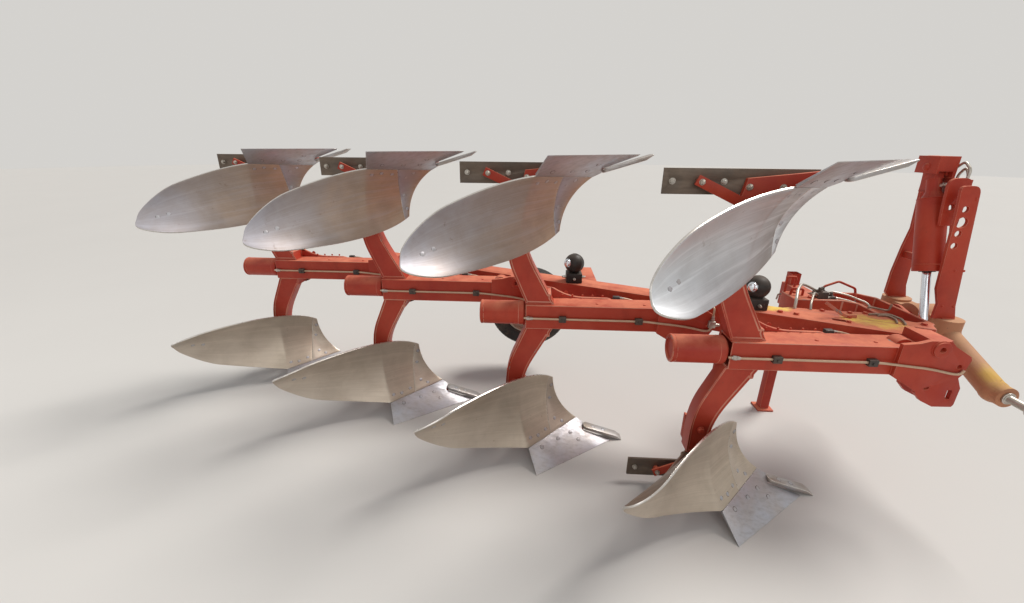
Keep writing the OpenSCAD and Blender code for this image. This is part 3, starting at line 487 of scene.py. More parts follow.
class Shop:
    """Bench of modelling steps that all the sub-assemblies share."""

    def __init__(self, frame: dict) -> None:
        """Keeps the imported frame, with no finish built yet."""
        self.frame = frame
        self.built: dict[Look, bpy.types.Material] = {}
        self.luck = random.Random(71)

    @staticmethod
    def take(*pieces: Piece) -> None:
        """Selects pieces alone, in object mode.

        Args:
            pieces: Pieces to select, of which the first one becomes active.
        """
        if bpy.context.object is not None and bpy.context.object.mode != "OBJECT":
            bpy.ops.object.mode_set(mode="OBJECT")
        bpy.ops.object.select_all(action="DESELECT")
        for piece in pieces:
            piece.select_set(True)
        if pieces:
            bpy.context.view_layer.objects.active = pieces[0]

    def fresh(self, add: Callable[..., set[str]], **values: object) -> Piece:
        """Adds one object with nothing else selected.

        Args:
            add: Operator that adds it.
            values: Settings of the operator.

        Returns:
            The new object.
        """
        self.take()
        add(**values)
        return bpy.context.view_layer.objects.active

    def settle(self, piece: Piece) -> Piece:
        """Carries a piece's place, turn and size into its mesh, and returns it."""
        self.take(piece)
        bpy.ops.object.transform_apply(location=True, rotation=True, scale=True)
        return piece

    @contextmanager
    def editing(self, piece: Piece, test: Callable[[Vector, Vector], bool] | None = None) -> Iterator[None]:
        """Holds a piece in edit mode with some of its faces selected.

        Args:
            piece: Piece to edit.
            test: Takes a face's middle and normal. Without it, everything is selected.

        Yields:
            Nothing.
        """
        self.take(piece)
        mesh = piece.data
        for group in (mesh.vertices, mesh.edges, mesh.polygons):
            group.foreach_set("select", [False] * len(group))
        bpy.context.tool_settings.mesh_select_mode = (False, False, True)
        if test is not None:
            for face in mesh.polygons:
                face.select = test(face.center, face.normal)
        bpy.ops.object.mode_set(mode="EDIT")
        if test is None:
            bpy.ops.mesh.select_all(action="SELECT")
        yield
        bpy.ops.object.mode_set(mode="OBJECT")

    def modify(self, piece: Piece, kind: str, **values: object) -> Piece:
        """Adds a modifier, sets it and applies it.

        Args:
            piece: Piece to change.
            kind: Blender's name of the modifier.
            values: Settings of the modifier.

        Returns:
            The same piece.
        """
        self.take(piece)
        modifier = piece.modifiers.new(kind.title(), kind)
        for key, value in values.items():
            setattr(modifier, key, value)
        bpy.ops.object.modifier_apply(modifier=modifier.name)
        return piece

    def round_edges(self, piece: Piece, width: float, steps: int = 2, index: int = -1) -> Piece:
        """Rounds a piece's sharp edges by a width in metres, with a finish of their own by index."""
        return self.modify(piece, "BEVEL", width=width, segments=steps, limit_method="ANGLE",
                           angle_limit=math.radians(32), material=index, use_clamp_overlap=True)

    def sink(self, piece: Piece, test: Callable[[Vector, Vector], bool], wall: float, move: Point) -> None:
        """Sinks faces inside a wall that stays.

        Args:
            piece: Piece to change.
            test: Takes a face's middle and normal, and picks the faces.
            wall: Thickness of the wall in metres.
            move: Way that the faces go, in metres.
        """
        with self.editing(piece, test):
            bpy.ops.mesh.inset(thickness=wall, depth=0.0, use_even_offset=True)
            bpy.ops.transform.translate(value=move)

    def paint(self, piece: Piece, *looks: Look) -> Piece:
        """Gives a piece its finishes.

        Args:
            piece: Piece to paint.
            looks: Finishes, in the order of its material indices.

        Returns:
            The same piece.
        """
        indices = [min(face.material_index, len(looks) - 1) for face in piece.data.polygons]
        piece.data.materials.clear()
        for look in looks:
            if look not in self.built:
                self.built[look] = look.value.build()
            piece.data.materials.append(self.built[look])
        piece.data.polygons.foreach_set("material_index", indices)
        return piece

    def place(self, piece: Piece, name: str, slot: str, body: str = FRAME, degrees: float = 34.0,
              nodes: Sequence[str] = ()) -> Piece:
        """Smooths and names a finished piece, and fixes it to the frame.

        Args:
            piece: Finished piece.
            name: Its name in the scene.
            slot: Material slot of the record; not used.
            body: Body that it moves with.
            degrees: Angle under which its faces shade as one.
            nodes: CAD nodes that it stands for.

        Returns:
            The same piece.
        """
        self.take(piece)
        bpy.ops.object.shade_smooth_by_angle(angle=math.radians(degrees))
        self.settle(piece)
        piece.name = piece.data.name = name
        if nodes:
            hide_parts(*nodes)
        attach(piece, body)
        LOG.info("%s: %d faces on %s", name, len(piece.data.polygons), body)
        return piece

    def finish(self, pieces: Sequence[Piece], name: str, look: Look, body: str = FRAME, degrees: float = 50.0,
               nodes: Sequence[str] = (), slot: str = "") -> Piece:
        """Joins and paints pieces, and fixes them to the frame as one.

        Args:
            pieces: Pieces of one finish.
            name: Name of the whole.
            look: Its finish.
            body: Body that it moves with.
            degrees: Angle under which its faces shade as one.
            nodes: CAD nodes that it stands for.
            slot: Material slot of the record, where it isn't the finish's own.

        Returns:
            The whole.
        """
        whole = self.paint(self.join(pieces), look)
        return self.place(whole, name, slot or look.value.slot, body, degrees, nodes)

    def dress(self, node: str, width: float = 0.003, steps: int = 2, look: Look = Look.RED,
              edge: Look = Look.EDGE, body: str = FRAME, shape: Callable[[Piece], None] | None = None) -> Piece:
        """Makes the rounded and painted piece that stands for a CAD node.

        Args:
            node: CAD node.
            width: Width of its rounded edges in metres.
            steps: Faces across the rounding.
            look: Finish of its faces.
            edge: Finish of its rounded edges.
            body: Body that it belongs to.
            shape: Work on the copy before its edges are rounded.

        Returns:
            The finished piece.
        """
        piece = self.fresh(bpy.ops.mesh.primitive_cube_add, size=1.0, location=(0, 0, 0))
        piece.data = self.frame["nodes"][node].data.copy()
        piece.data.materials.clear()
        with self.editing(piece):
            bpy.ops.mesh.remove_doubles(threshold=0.00002)
            bpy.ops.mesh.dissolve_limited(angle_limit=math.radians(0.6))
        if shape is not None:
            shape(piece)
        self.round_edges(self.paint(piece, look, edge), width, steps, 1)
        return self.place(piece, f"{node}_dressed", look.value.slot, body, nodes=(node,))

    def outline(self, points: Sequence[Vector], thickness: Vector) -> Piece:
        """Draws a flat outline and pushes it out.

        Args:
            points: Scene places round the outline.
            thickness: Way and distance of the push.

        Returns:
            The closed piece.
        """
        piece = self.fresh(bpy.ops.mesh.primitive_circle_add, vertices=len(points), radius=1.0, fill_type="NGON")
        for vertex, point in zip(piece.data.vertices, points):
            vertex.co = point
        with self.editing(piece):
            bpy.ops.mesh.extrude_region_move(TRANSFORM_OT_translate={"value": thickness})
            bpy.ops.mesh.select_all(action="SELECT")
            bpy.ops.mesh.normals_make_consistent(inside=False)
        return piece

    def bar(self, low: Vector, high: Vector, width: float = 0.004) -> Piece:
        """Makes a bar with rounded edges.

        Args:
            low: One corner of it.
            high: The corner across from that one.
            width: Width of the rounding in metres.

        Returns:
            The bar.
        """
        piece = self.fresh(bpy.ops.mesh.primitive_cube_add, size=1.0, location=(low + high) / 2)
        piece.scale = [abs(a - b) for a, b in zip(low, high)]
        return self.round_edges(self.settle(piece), width)

    def lathe(self, profile: Profile, steps: int) -> Piece:
        """Turns a piece about Z.

        Args:
            profile: Closed outline of radius and height, in millimetres.
            steps: Faces round it.

        Returns:
            The turned piece.
        """
        piece = self.fresh(bpy.ops.mesh.primitive_circle_add, vertices=len(profile), radius=1.0,
                           fill_type="NOTHING")
        for vertex, (radius, height) in zip(piece.data.vertices, profile):
            vertex.co = (radius / 1000.0, 0.0, height / 1000.0)
        with self.editing(piece):
            bpy.ops.mesh.select_mode(type="VERT")
            bpy.ops.mesh.select_all(action="SELECT")
            bpy.ops.mesh.spin(steps=steps, angle=math.tau, center=(0, 0, 0), axis=(0, 0, 1), use_auto_merge=True)
            bpy.ops.mesh.select_all(action="SELECT")
            bpy.ops.mesh.remove_doubles(threshold=0.00001)
            bpy.ops.mesh.dissolve_degenerate(threshold=0.000001)
            bpy.ops.mesh.select_all(action="SELECT")
            bpy.ops.mesh.normals_make_consistent(inside=False)
        with self.editing(piece):
            bpy.ops.mesh.delete_loose(use_verts=True, use_edges=True, use_faces=False)
        return piece

    def turned(self, profile: Profile, steps: int, where: Vector, way: Vector) -> Piece:
        """Turns a piece and stands it at a place.

        Args:
            profile: Closed outline of radius and height, in millimetres.
            steps: Faces round it.
            where: Scene place of its origin.
            way: Way of its axis.

        Returns:
            The turned piece.
        """
        piece = self.lathe(profile, steps)
        piece.data.transform(self.seat(where, way, 1.0, False))
        return piece

    def rod(self, route: Sequence[Vector], radius: float, sides: int = 12,
            swell: Sequence[float] | None = None) -> Piece:
        """Makes a round rod or pipe along a route of scene places.

        Args:
            route: Places along the middle of the rod.
            radius: Radius in metres.
            sides: Faces round the rod.
            swell: Share of the radius at each place.

        Returns:
            The rod, as a closed mesh.
        """
        piece = self.fresh(bpy.ops.curve.primitive_bezier_curve_add, location=(0, 0, 0))
        curve = piece.data
        curve.splines.clear()
        line = curve.splines.new("POLY")
        line.points.add(len(route) - 1)
        for point, place, share in zip(line.points, route, swell or [1.0] * len(route)):
            point.co = (*place, 1.0)
            point.radius = share
        curve.dimensions = "3D"
        curve.bevel_depth = radius
        curve.bevel_resolution = max(0, sides // 2 - 2)
        curve.use_fill_caps = True
        self.take(piece)
        bpy.ops.object.convert(target="MESH")
        piece = bpy.context.view_layer.objects.active
        with self.editing(piece):
            bpy.ops.mesh.remove_doubles(threshold=0.00001)
            bpy.ops.mesh.normals_make_consistent(inside=False)
        return piece

    def tube(self, corners: Iterable[Point], reach: float, radius: float, spot: Callable[..., Vector] = at,
             sides: int = 12, steps: int = 7) -> Piece:
        """Makes a pipe with round bends.

        Args:
            corners: Ends and corners in millimetres.
            reach: Length of leg that a bend takes up, in millimetres.
            radius: Radius in metres.
            spot: Takes millimetres to a scene place.
            sides: Faces round the pipe.
            steps: Straight parts in a bend.

        Returns:
            The pipe, as a closed mesh.
        """
        return self.rod([spot(*place) for place in eased(corners, reach, steps)], radius, sides)

    def bead(self, ends: Sequence[Vector], size: float = 0.0045) -> Piece:
        """Lays a rippled weld bead.

        Args:
            ends: Scene places that it runs through.
            size: Radius in metres.

        Returns:
            The bead.
        """
        route: list[Vector] = []
        for a, b in zip(ends, ends[1:]):
            count = max(2, int((b - a).length / 0.0055))
            route += [a.lerp(b, i / count) for i in range(count)]
        route.append(ends[-1])
        return self.rod(route, size, 6, [1.0 - 0.22 * (i % 2) - 0.06 * self.luck.random() for i in range(len(route))])

    def join(self, pieces: Sequence[Piece]) -> Piece:
        """Joins pieces.

        Args:
            pieces: Pieces, of which the first one takes in the others.

        Returns:
            The first piece.
        """
        self.take(*pieces)
        if len(pieces) > 1:
            bpy.ops.object.join()
        return pieces[0]

    def seat(self, where: Vector, way: Vector, size: float = 1.0, turned: bool = True) -> Matrix:
        """Gives the place of a model that stands on a surface.

        Args:
            where: Scene place of its foot.
            way: Way that it stands up in.
            size: Share of the model's size.
            turned: Whether it is turned at random about its axis.

        Returns:
            The place, as a matrix.
        """
        turn = Matrix.Rotation(self.luck.random() * math.tau if turned else 0.0, 4, "Z")
        return (Matrix.Translation(where) @ way.to_track_quat("Z", "Y").to_matrix().to_4x4()
                @ turn @ Matrix.Scale(size, 4))

    def seats(self, places: Iterable[Vector], way: Vector, size: float = 1.0) -> list[Matrix]:
        """Returns the seats of models that stand up in one way."""
        return [self.seat(place, way, size) for place in places]


WASHER = (20, ((0, 0), (17, 0), (17, 2.4), (16.4, 3), (0, 3)))


class Fastener(Enum):
    """Kinds of fastener with a 16 mm thread, each as prisms, turned parts and finishes, in millimetres.

    A prism is its radius, foot and top. A turned part is its number of faces and its profile.
    """

    HEX = (((13.8, 2.8, 12.5),), (WASHER,), (Look.RED,))
    NUT = (((13.8, 2.8, 15.5),), (WASHER, (14, ((0, 10), (8, 10), (8, 19), (7, 20.5), (0, 20.5)))), (Look.RED,))
    PLOUGH = ((), ((20, ((0, -1), (10.4, -1), (10.6, 0.35), (9.0, 0.75), (0, 0.9))),
                   (20, ((0, -1), (12.6, -1), (12.6, 0.12), (0, 0.14)))), (Look.SHARE, Look.DARK))
    CUP = ((), ((18, ((0, 0), (15, 0), (14.6, 3.0), (12.4, 6.2), (8, 8.6), (3.5, 9.6), (0, 9.8))),), (Look.RED,))
    UNION = (((12.6, 0, 17), (10.6, 18.5, 29)),
             ((16, ((0, -6), (8.8, -6), (9.4, -4), (9.4, 3), (0, 3))),
              (16, ((0, 16), (8.4, 16), (8.4, 33), (7.2, 36), (0, 36)))), (Look.ZINC,))


class Fasteners:
    """Models each kind of fastener once, standing on Z at the origin."""

    def __init__(self, shop: Shop) -> None:
        """Keeps the bench."""
        self.shop = shop

    def prism(self, radius: float, low: float, high: float) -> Piece:
        """Makes a six-sided prism with a chamfered top.

        Args:
            radius: Radius over its corners, in millimetres.
            low: Height of its foot.
            high: Height of its top.

        Returns:
            The prism.
        """
        shop = self.shop
        piece = shop.settle(shop.fresh(
            bpy.ops.mesh.primitive_cylinder_add, vertices=6, radius=radius / 1000.0,
            depth=(high - low) / 1000.0, location=(0, 0, (low + high) / 2000.0)))
        top = high / 1000.0
        with shop.editing(piece, lambda middle, normal: normal.z > 0.9 and middle.z > top - 0.0001):
            bpy.ops.mesh.bevel(offset=radius * 0.00012, segments=1, affect="EDGES")
        return piece

    def model(self, kind: Fastener, looks: Sequence[Look]) -> Piece:
        """Makes the model of a kind.

        Args:
            kind: Kind of fastener.
            looks: One finish for the whole, or one for each of its parts.

        Returns:
            The model.
        """
        prisms, profiles, _ = kind.value
        parts = [self.prism(*sizes) for sizes in prisms]
        parts += [self.shop.lathe(profile, steps) for steps, profile in profiles]
        if len(looks) == 1:
            return self.shop.paint(self.shop.join(parts), *looks)
        return self.shop.join([self.shop.paint(part, look) for part, look in zip(parts, looks)])

    def fit(self, kind: Fastener, seats: Iterable[Matrix], name: str, look: Look | None = None,
            body: str = FRAME, slot: str = "") -> Piece:
        """Places copies of a fastener as one piece, each from a mesh of its own.

        Args:
            kind: Kind of fastener.
            seats: Places of the copies.
            name: Name of the piece.
            look: Finish instead of the kind's own.
            body: Body that it moves with.
            slot: Material slot of the record, where it isn't the finish's own.

        Returns:
            The finished piece.
        """
        looks = (look,) if look else kind.value[2]
        model = self.model(kind, looks)
        made = []
        for seat in seats:
            piece = model.copy()
            piece.data = model.data.copy()
            piece.data.transform(seat)
            bpy.context.scene.collection.objects.link(piece)
            made.append(piece)
        bpy.data.objects.remove(model)
        return self.shop.place(self.shop.join(made), name, slot or looks[0].value.slot, body, 30.0)


@dataclass
class Assembly:
    """A part of the plough, made on the shared bench with the shared fasteners."""

    shop: Shop
    fasteners: Fasteners


@dataclass
class Moldboards(Assembly):
    """The eight twisted boards and shins, remade as fine polished sheets on the CAD's own surface.

    A place on the surface has a share s of the run from shin to tail, and a share t of the rise
    from the lower edge to the upper one.
    """

    hollow: float = 52.0
    thick: float = 9.0
    seam_gap: float = 0.0006
    seam_share: float = 0.39
    tail_start: float = 0.83
    tail: float = 0.40
    rim: float = 0.004
    worn: float = 0.0012  # width of the rounded rims in metres
    split: tuple[float, float] = (0.215, 0.06)  # foot and top of the line between shin and board
    crowding: float = 1.35  # draws the grid's columns towards the tail
    low_bow: tuple[Vector, Vector] = (Vector((-850, -350, 130)), Vector((-1140, -592, 296)))
    high_bow: tuple[Vector, Vector, Vector] = (
        Vector((-453, 0, 409)), Vector((-640, -160, 575)), Vector((-1128, -742, 492)))
    bolts: tuple[tuple[float, float], ...] = (
        (0.30, 0.075), (0.235, 0.095), (0.10, 0.075), (0.135, 0.17), (0.095, 0.55), (0.355, 0.10),
        (0.915, 0.575), (0.87, 0.562), (0.035, 0.83))

    def low(self, s: float) -> Vector:
        """Returns the lower edge at share s of the run."""
        if s < self.seam_share:
            return mixed(*SEAM, s / self.seam_share)
        return curved((SEAM[1], *self.low_bow), (s - self.seam_share) / (1 - self.seam_share))

    def high(self, s: float) -> Vector:
        """Returns the upper edge at share s of the run."""
        return curved(self.high_bow, s)

    def back(self, s: float) -> Vector:
        """Gives the way in which the sheet is hollowed.

        Args:
            s: Share of the run.

        Returns:
            The way, which stays level with the travel at the shin.
        """
        ahead, behind = (mixed(self.low(s + step), self.high(s + step), 0.5) for step in (0.02, -0.02))
        way = (ahead - behind).normalized().cross(self.high(s) - self.low(s)).normalized()
        return Vector((way.x, way.y * min(1.0, max(0.0, s) / 0.12), way.z))

    def face(self, s: float, t: float) -> Vector:
        """Returns a point of the worn face, in the station's millimetres."""
        return mixed(self.low(s), self.high(s), t) + self.back(s) * self.hollow * 4 * t * (1 - t)

    def behind(self, s: float, t: float, step: float = 0.01) -> Vector:
        """Returns the unit way from the face into the plate."""
        along = self.face(s + step, t) - self.face(s - step, t)
        return along.cross(self.face(s, t + step) - self.face(s, t - step)).normalized()

    def taken(self, s: float) -> float:
        """Returns how far the tail's rounding has come in."""
        share = max(0.0, (s - self.tail_start) / (1 - self.tail_start))
        return self.tail * (1 - math.sqrt(max(0.0, 1 - share * share)))

    @staticmethod
    def steel(body: Station) -> Look:
        """Returns the finish of one body's board."""
        if not body.upper:
            return Look.BOARD_LOW
        return Look.BOARD_FRONT if body.index == 1 else Look.BOARD_HIGH

    def sheet(self, body: Station, rows: int, cols: int,
              net: Callable[[float, float], tuple[float, float]]) -> Piece:
        """Makes one painted sheet of the body's surface with its thickness.

        Args:
            body: Body that the sheet belongs to.
            rows: Faces along the run.
            cols: Faces across it.
            net: Takes the grid's two shares to the surface's two shares.

        Returns:
            The sheet, with the grid's own map.
        """
        shop = self.shop
        piece = shop.fresh(bpy.ops.mesh.primitive_grid_add, x_subdivisions=rows, y_subdivisions=cols, size=1.0,
                           calc_uvs=True)
        for vertex in piece.data.vertices:
            vertex.co = body.spot(*self.face(*net(vertex.co.x + 0.5, vertex.co.y + 0.5)))
        piece.data.update()
        middle = piece.data.polygons[len(piece.data.polygons) // 2]
        if middle.normal.dot(body.way(*self.behind(*net(0.5, 0.5)))) > 0:
            piece.data.flip_normals()
        shop.paint(piece, self.steel(body), Look.RIM, Look.BACK)
        shop.modify(piece, "SOLIDIFY", thickness=self.thick / 1000.0, offset=-1.0, material_offset=2,
                    material_offset_rim=1)
        return shop.round_edges(piece, self.worn, 2, 1)

    def board_net(self, u: float, v: float) -> tuple[float, float]:
        """Gives the surface shares of the board's grid.

        Args:
            u: Share of the grid's length.
            v: Share of its height.

        Returns:
            The shares s and t.
        """
        start = self.split[0] + (self.split[1] - self.split[0]) * v + self.seam_gap
        s = start + (1 - start) * (1 - (1 - u) ** self.crowding)
        low, high = self.rim + self.taken(s), 1 - self.taken(s)
        return s, low + (high - low) * v

    def shin_net(self, u: float, v: float) -> tuple[float, float]:
        """Returns the surface shares of the shin's grid."""
        end = self.split[0] + (self.split[1] - self.split[0]) * v - self.seam_gap
        return end * u, self.rim + (1 - self.rim) * v

    def build(self) -> None:
        """Makes the boards, the shins and their bolts."""
        shop = self.shop
        seats: list[Matrix] = []
        for body in every_body():
            node = f"moldboard_{body.name}"
            board = self.sheet(body, 56, 22, self.board_net)
            low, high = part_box(node)
            for vertex in board.data.vertices:
                vertex.co = [min(max(part, least), most) for part, least, most in zip(vertex.co, low, high)]
            shop.place(board, f"board_{body.name}", "polished_steel", degrees=40.0, nodes=(node,))
            seats += [shop.seat(body.spot(*self.face(s, t)), body.way(*(-self.behind(s, t)))) for s, t in self.bolts]
        for i in range(1, STATIONS + 1):
            pair = shop.join([self.sheet(Station(i, upper), 10, 20, self.shin_net) for upper in (False, True)])
            shop.place(pair, f"shin_pair_{i}", "polished_steel", degrees=40.0, nodes=(f"shins_{i}",))
        self.fasteners.fit(Fastener.PLOUGH, seats, "board_bolts", slot="polished_steel")


@dataclass
class Ground(Assembly):
    """Shares, points, landsides, frogs, stays and struts: what works in the soil or holds it."""

    frog_y: float = -38.3
    landside_y: float = -12.0
    bolt_z: float = 101.0
    point_lean: float = math.radians(17)
    edge: tuple[Vector, Vector] = (Vector((-70, -68, 3)), Vector((-544, -414, 3)))
    stay_foot: Point = (-700, -54.7, 272)
    stay_head: tuple[float, float] = (0.78, 0.30)  # shares on the board
    stay_gap: float = 27.3  # from the board's face to the middle of the stay's eye
    stay_r: float = 0.013

    def share_face(self, s: float, t: float) -> Vector:
        """Returns a place on the share's upper face, in the station's millimetres."""
        return mixed(mixed(*self.edge, s), mixed(*SEAM, s), t)

    def flush_bolts(self) -> list[tuple[Iterable[float], Iterable[float]]]:
        """Returns the place and the way of each flush bolt of a lower body."""
        flat = (self.edge[1] - self.edge[0]).cross(SEAM[1] - self.edge[1]).normalized()
        up = -flat if flat.z < 0 else flat
        sin, cos = math.sin(self.point_lean), math.cos(self.point_lean)
        out = [(self.share_face(s, t), up) for s, t in ((0.30, 0.72), (0.52, 0.74), (0.80, 0.78), (0.30, 0.42))]
        out += [((-8 - back * cos + 20 * sin, -34, back * sin + 20 * cos), (sin, 0, cos)) for back in (120, 190)]
        return out + [((x, 0, self.bolt_z), (0, 1, 0)) for x in (-430, -590, -740, -960)]

    def nuts(self) -> list[tuple[Point, float]]:
        """Returns the place and the size of each nut behind the landside and the frog."""
        frog = ((-560, 180), (-500, 120), (-600, 240), (-640, 120))
        return [*(((x, self.landside_y, self.bolt_z), 0.85) for x in (-740, -960)),
                *(((x, self.frog_y, z), 0.85) for x, z in frog),
                ((-845, self.frog_y - 10.3, self.bolt_z), 0.8)]

    def stays(self) -> None:
        """Makes the stays behind the boards, each with a swaged end, an eye and a lock nut."""
        shop = self.shop
        boards = Moldboards(shop, self.fasteners)
        head = boards.face(*self.stay_head) + boards.behind(*self.stay_head) * self.stay_gap
        swell = (0.82, 0.82, 0.95, 0.95, 1.0, 1.0, 0.72, 0.72, 0.82, 0.82)
        pieces = []
        nuts: list[Matrix] = []
        for body in every_body():
            a, b = body.spot(*self.stay_foot), body.spot(*head)
            way = (b - a).normalized()
            ends = (0, 0.02, 0.024, 0.075, 0.085)
            stops = [*ends, *((b - a).length - stop for stop in reversed(ends))]
            pieces.append(shop.rod([a + way * stop for stop in stops], self.stay_r, 16, swell))
            for place, r in ((a, 16.0), (b, 17.4)):
                half = ((0, 0.72 * r), (0.6 * r, 0.72 * r), (0.9 * r, 0.36 * r))
                knob = [*((across, -up) for across, up in half), (r, 0), *reversed(half)]
                pieces.append(shop.turned(knob, 20, place, way.cross(UP).normalized()))
            nuts.append(shop.seat(a + way * 0.072, way, 1.08))
        shop.finish(pieces, "stay_rods", Look.STAY, degrees=34.0, nodes=("board_stays",))
        self.fasteners.fit(Fastener.NUT, nuts, "stay_lock_nuts", Look.STAY)

    def build(self) -> None:
        """Dresses the nodes and adds their bolts and stays."""
        shop = self.shop
        for i in range(1, STATIONS + 1):
            shop.dress(f"shares_{i}", 0.0014, look=Look.SHARE, edge=Look.RIM)
            shop.dress(f"frogs_{i}")
        shop.dress("share_points", 0.0022, look=Look.POINT, edge=Look.RIM)
        shop.dress("landsides", 0.0018, look=Look.LANDSIDE, edge=Look.STAY)
        shop.dress("landside_struts", 0.0022)
        flush: list[Matrix] = []
        nuts: list[Matrix] = []
        for body in every_body():
            flush += [shop.seat(body.spot(*place), body.way(*way)) for place, way in self.flush_bolts()]
            nuts += [shop.seat(body.spot(*place), body.way(0, -1, 0), size) for place, size in self.nuts()]
        self.fasteners.fit(Fastener.PLOUGH, flush, "share_and_landside_bolts")
        self.fasteners.fit(Fastener.NUT, nuts, "frog_nuts", Look.ZINC)
        self.stays()


@dataclass
class LegsAndArms(Assembly):
    """Legs, arms, trip cylinders and consoles of the stations."""

    leg_y: float = -123.0
    arm_top: float = 941.0
    drum_foot: Point = (-892.3, -75, MID_Z)
    drum_r: float = 69.0
    drum_len: float = 262.0
    boss: Point = (262.0, -166.0, MID_Z + 76)
    boss_r: float = 38.0

    def channel(self, piece: Piece) -> None:
        """Sinks the near faces of a pair of legs between their rims."""
        level = min(face.center.y for face in piece.data.polygons if face.normal.y < -0.99 and face.area > 0.02)
        self.shop.sink(piece, lambda middle, normal: normal.y < -0.99 and abs(middle.y - level) < 0.0005,
                       0.011, (0, 0.009, 0))

    def drums(self) -> None:
        """Turns the trip cylinders: a drum with a rolled rim, a dished end and a gland."""
        shop = self.shop
        r, length = self.drum_r, self.drum_len
        profile = [(0, 8), (r * 0.70, 8), (r * 0.74, 0), (r - 9, 0), (r - 1.2, 3), (r, 8), (r, 15), (r - 2.4, 17),
                   (r - 2.4, 20), (r - 0.8, 22), (r - 0.8, length - 42), (r, length - 40), (r, length - 14),
                   (r - 3, length - 10), (r - 17, length - 8), (r - 17, length), (0, length)]
        for station in every_station():
            drum = shop.lathe(profile, 56)
            for face in drum.data.polygons:
                across = math.hypot(face.center.x, face.center.y) * 1000.0
                face.material_index = int(face.normal.z < -0.3 and across > r - 10)
            drum.data.transform(shop.seat(station.spot(*self.drum_foot), AHEAD, 1.0, False))
            shop.round_edges(drum, 0.0012, 1)
            shop.place(shop.paint(drum, Look.RED, Look.EDGE), f"trip_drum_{station.index}", "red_paint",
                       nodes=(f"safety_cylinder_{station.index}",))

    def build(self) -> None:
        """Dresses the nodes and adds bolts and welds."""
        shop = self.shop
        for i in range(1, STATIONS + 1):
            shop.dress(f"legs_{i}", 0.0035, shape=self.channel)
            shop.dress(f"arm_{i}", 0.006, 3)
        self.drums()
        shop.dress("consoles")
        heads: list[Matrix] = []
        domes: list[Matrix] = []
        beads = []
        for body in every_body():
            near, far = body.way(0, -1, 0), body.way(0, 1, 0)
            heads += shop.seats((body.spot(-690, self.leg_y, z) for z in (335, 440)), near, 1.15)
            beads.append(shop.bead([body.spot(x, self.leg_y - 0.5, 800.7) for x in (-630, -490)]))
            domes += shop.seats((body.spot(x, 11.3, MID_Z - 95) for x in (-560, -480, -400)), far, 0.9)
            domes += shop.seats((body.spot(x, -4.7, MID_Z - 87) for x in (-420, -362, -304, -246, -188)), near, 0.45)
        for station in every_station():
            beads.append(shop.bead([station.spot(99, -146, MID_Z + z) for z in (-68, 68)]))
            x, y, z = self.boss
            turns = [k * 0.35 for k in range(19)]
            beads.append(shop.bead([station.spot(x + self.boss_r * math.cos(turn), y, z + self.boss_r * math.sin(turn))
                                    for turn in turns]))
            domes += shop.seats((station.spot(x, -96, self.arm_top) for x in (-230, 34)), UP, 0.55)
        self.fasteners.fit(Fastener.HEX, heads, "leg_and_console_bolts")
        self.fasteners.fit(Fastener.CUP, domes, "arm_rivets")
        shop.finish(beads, "arm_welds", Look.RED, degrees=60.0)


@dataclass
class Pipework(Assembly):
    """Pressure pipes along the arms, with their clamps and unions, and the feed along the beam."""

    height: float = 867.0
    arm_r: float = 0.006
    feed_r: float = 0.0055
    bridge_r: float = 0.0052

    def feeds(self) -> None:
        """Makes the short feed from each arm's land plate to its console."""
        shop = self.shop
        route = ((-80, 26, 938), (-40, 28, 932), (60, 34, 905), (150, 20, 880), (206, 4, 872))
        spots = [station.spot for station in every_station()]
        shop.finish([shop.tube(route, 14.0, self.feed_r, spot) for spot in spots], "feed_pipes", Look.PIPE)
        shop.finish([shop.bar(spot(-122, 11.6, 880), spot(-82, 40, 948)) for spot in spots], "feed_blocks",
                    Look.DARK, degrees=34.0)
        unions = shop.seats((spot(-82, 26, 938) for spot in spots), Vector((1, 0, -0.1)).normalized(), 0.62)
        self.fasteners.fit(Fastener.UNION, unions, "feed_unions")

    def ports(self) -> None:
        """Makes the port block on each console, and the bridge pipe from it to the beam."""
        shop = self.shop
        route = ((386, -177, 905), (386, -177, 966), (386, -46, 966), (386, -46, 948))
        places = (((386, -177, 890), UP, 0.8), ((386, -46, 946), UP, 0.5), ((402, -177, 868), AHEAD, 0.7))
        spots = [station.spot for station in every_station()[1:]]
        shop.finish([shop.bar(spot(366, -189, 852), spot(402, -165.4, 890), 0.003) for spot in spots],
                    "port_blocks", Look.ZINC)
        shop.finish([shop.tube(route, 22.0, self.bridge_r, spot) for spot in spots], "bridge_pipes", Look.PIPE)
        unions = [shop.seat(spot(*place), way, size) for spot in spots for place, way, size in places]
        self.fasteners.fit(Fastener.UNION, unions, "port_unions")

    def build(self) -> None:
        """Makes the pipes, clamps and unions."""
        shop = self.shop
        z = self.height
        route = ((-640, -151, z), (-600, -157, z), (30, -157, z), (90, -172.3, z), (250, -172.3, z - 16),
                 (372, -172.3, z - 44), (385, -176.3, z - 16))
        pipes = [shop.tube(route, 60.0, self.arm_r, station.spot, 14, 10) for station in every_station()]
        shop.finish(pipes, "arm_pressure_pipes", Look.PIPE, nodes=("arm_pipes",))
        shop.dress("pipe_clamps", 0.0016, look=Look.DARK, edge=Look.DARK)
        unions: list[Matrix] = []
        caps: list[Matrix] = []
        for station in every_station():
            unions.append(shop.seat(station.spot(-622, -154, z), Vector((1, -0.1, 0)).normalized(), 0.95))
            caps += shop.seats((station.spot(x, -169, z - 3) for x in (-424, -3)), -LEFT, 0.5)
        self.fasteners.fit(Fastener.UNION, unions, "pipe_unions")
        self.fasteners.fit(Fastener.HEX, caps, "clamp_bolts", Look.DARK)
        self.feeds()
        self.ports()


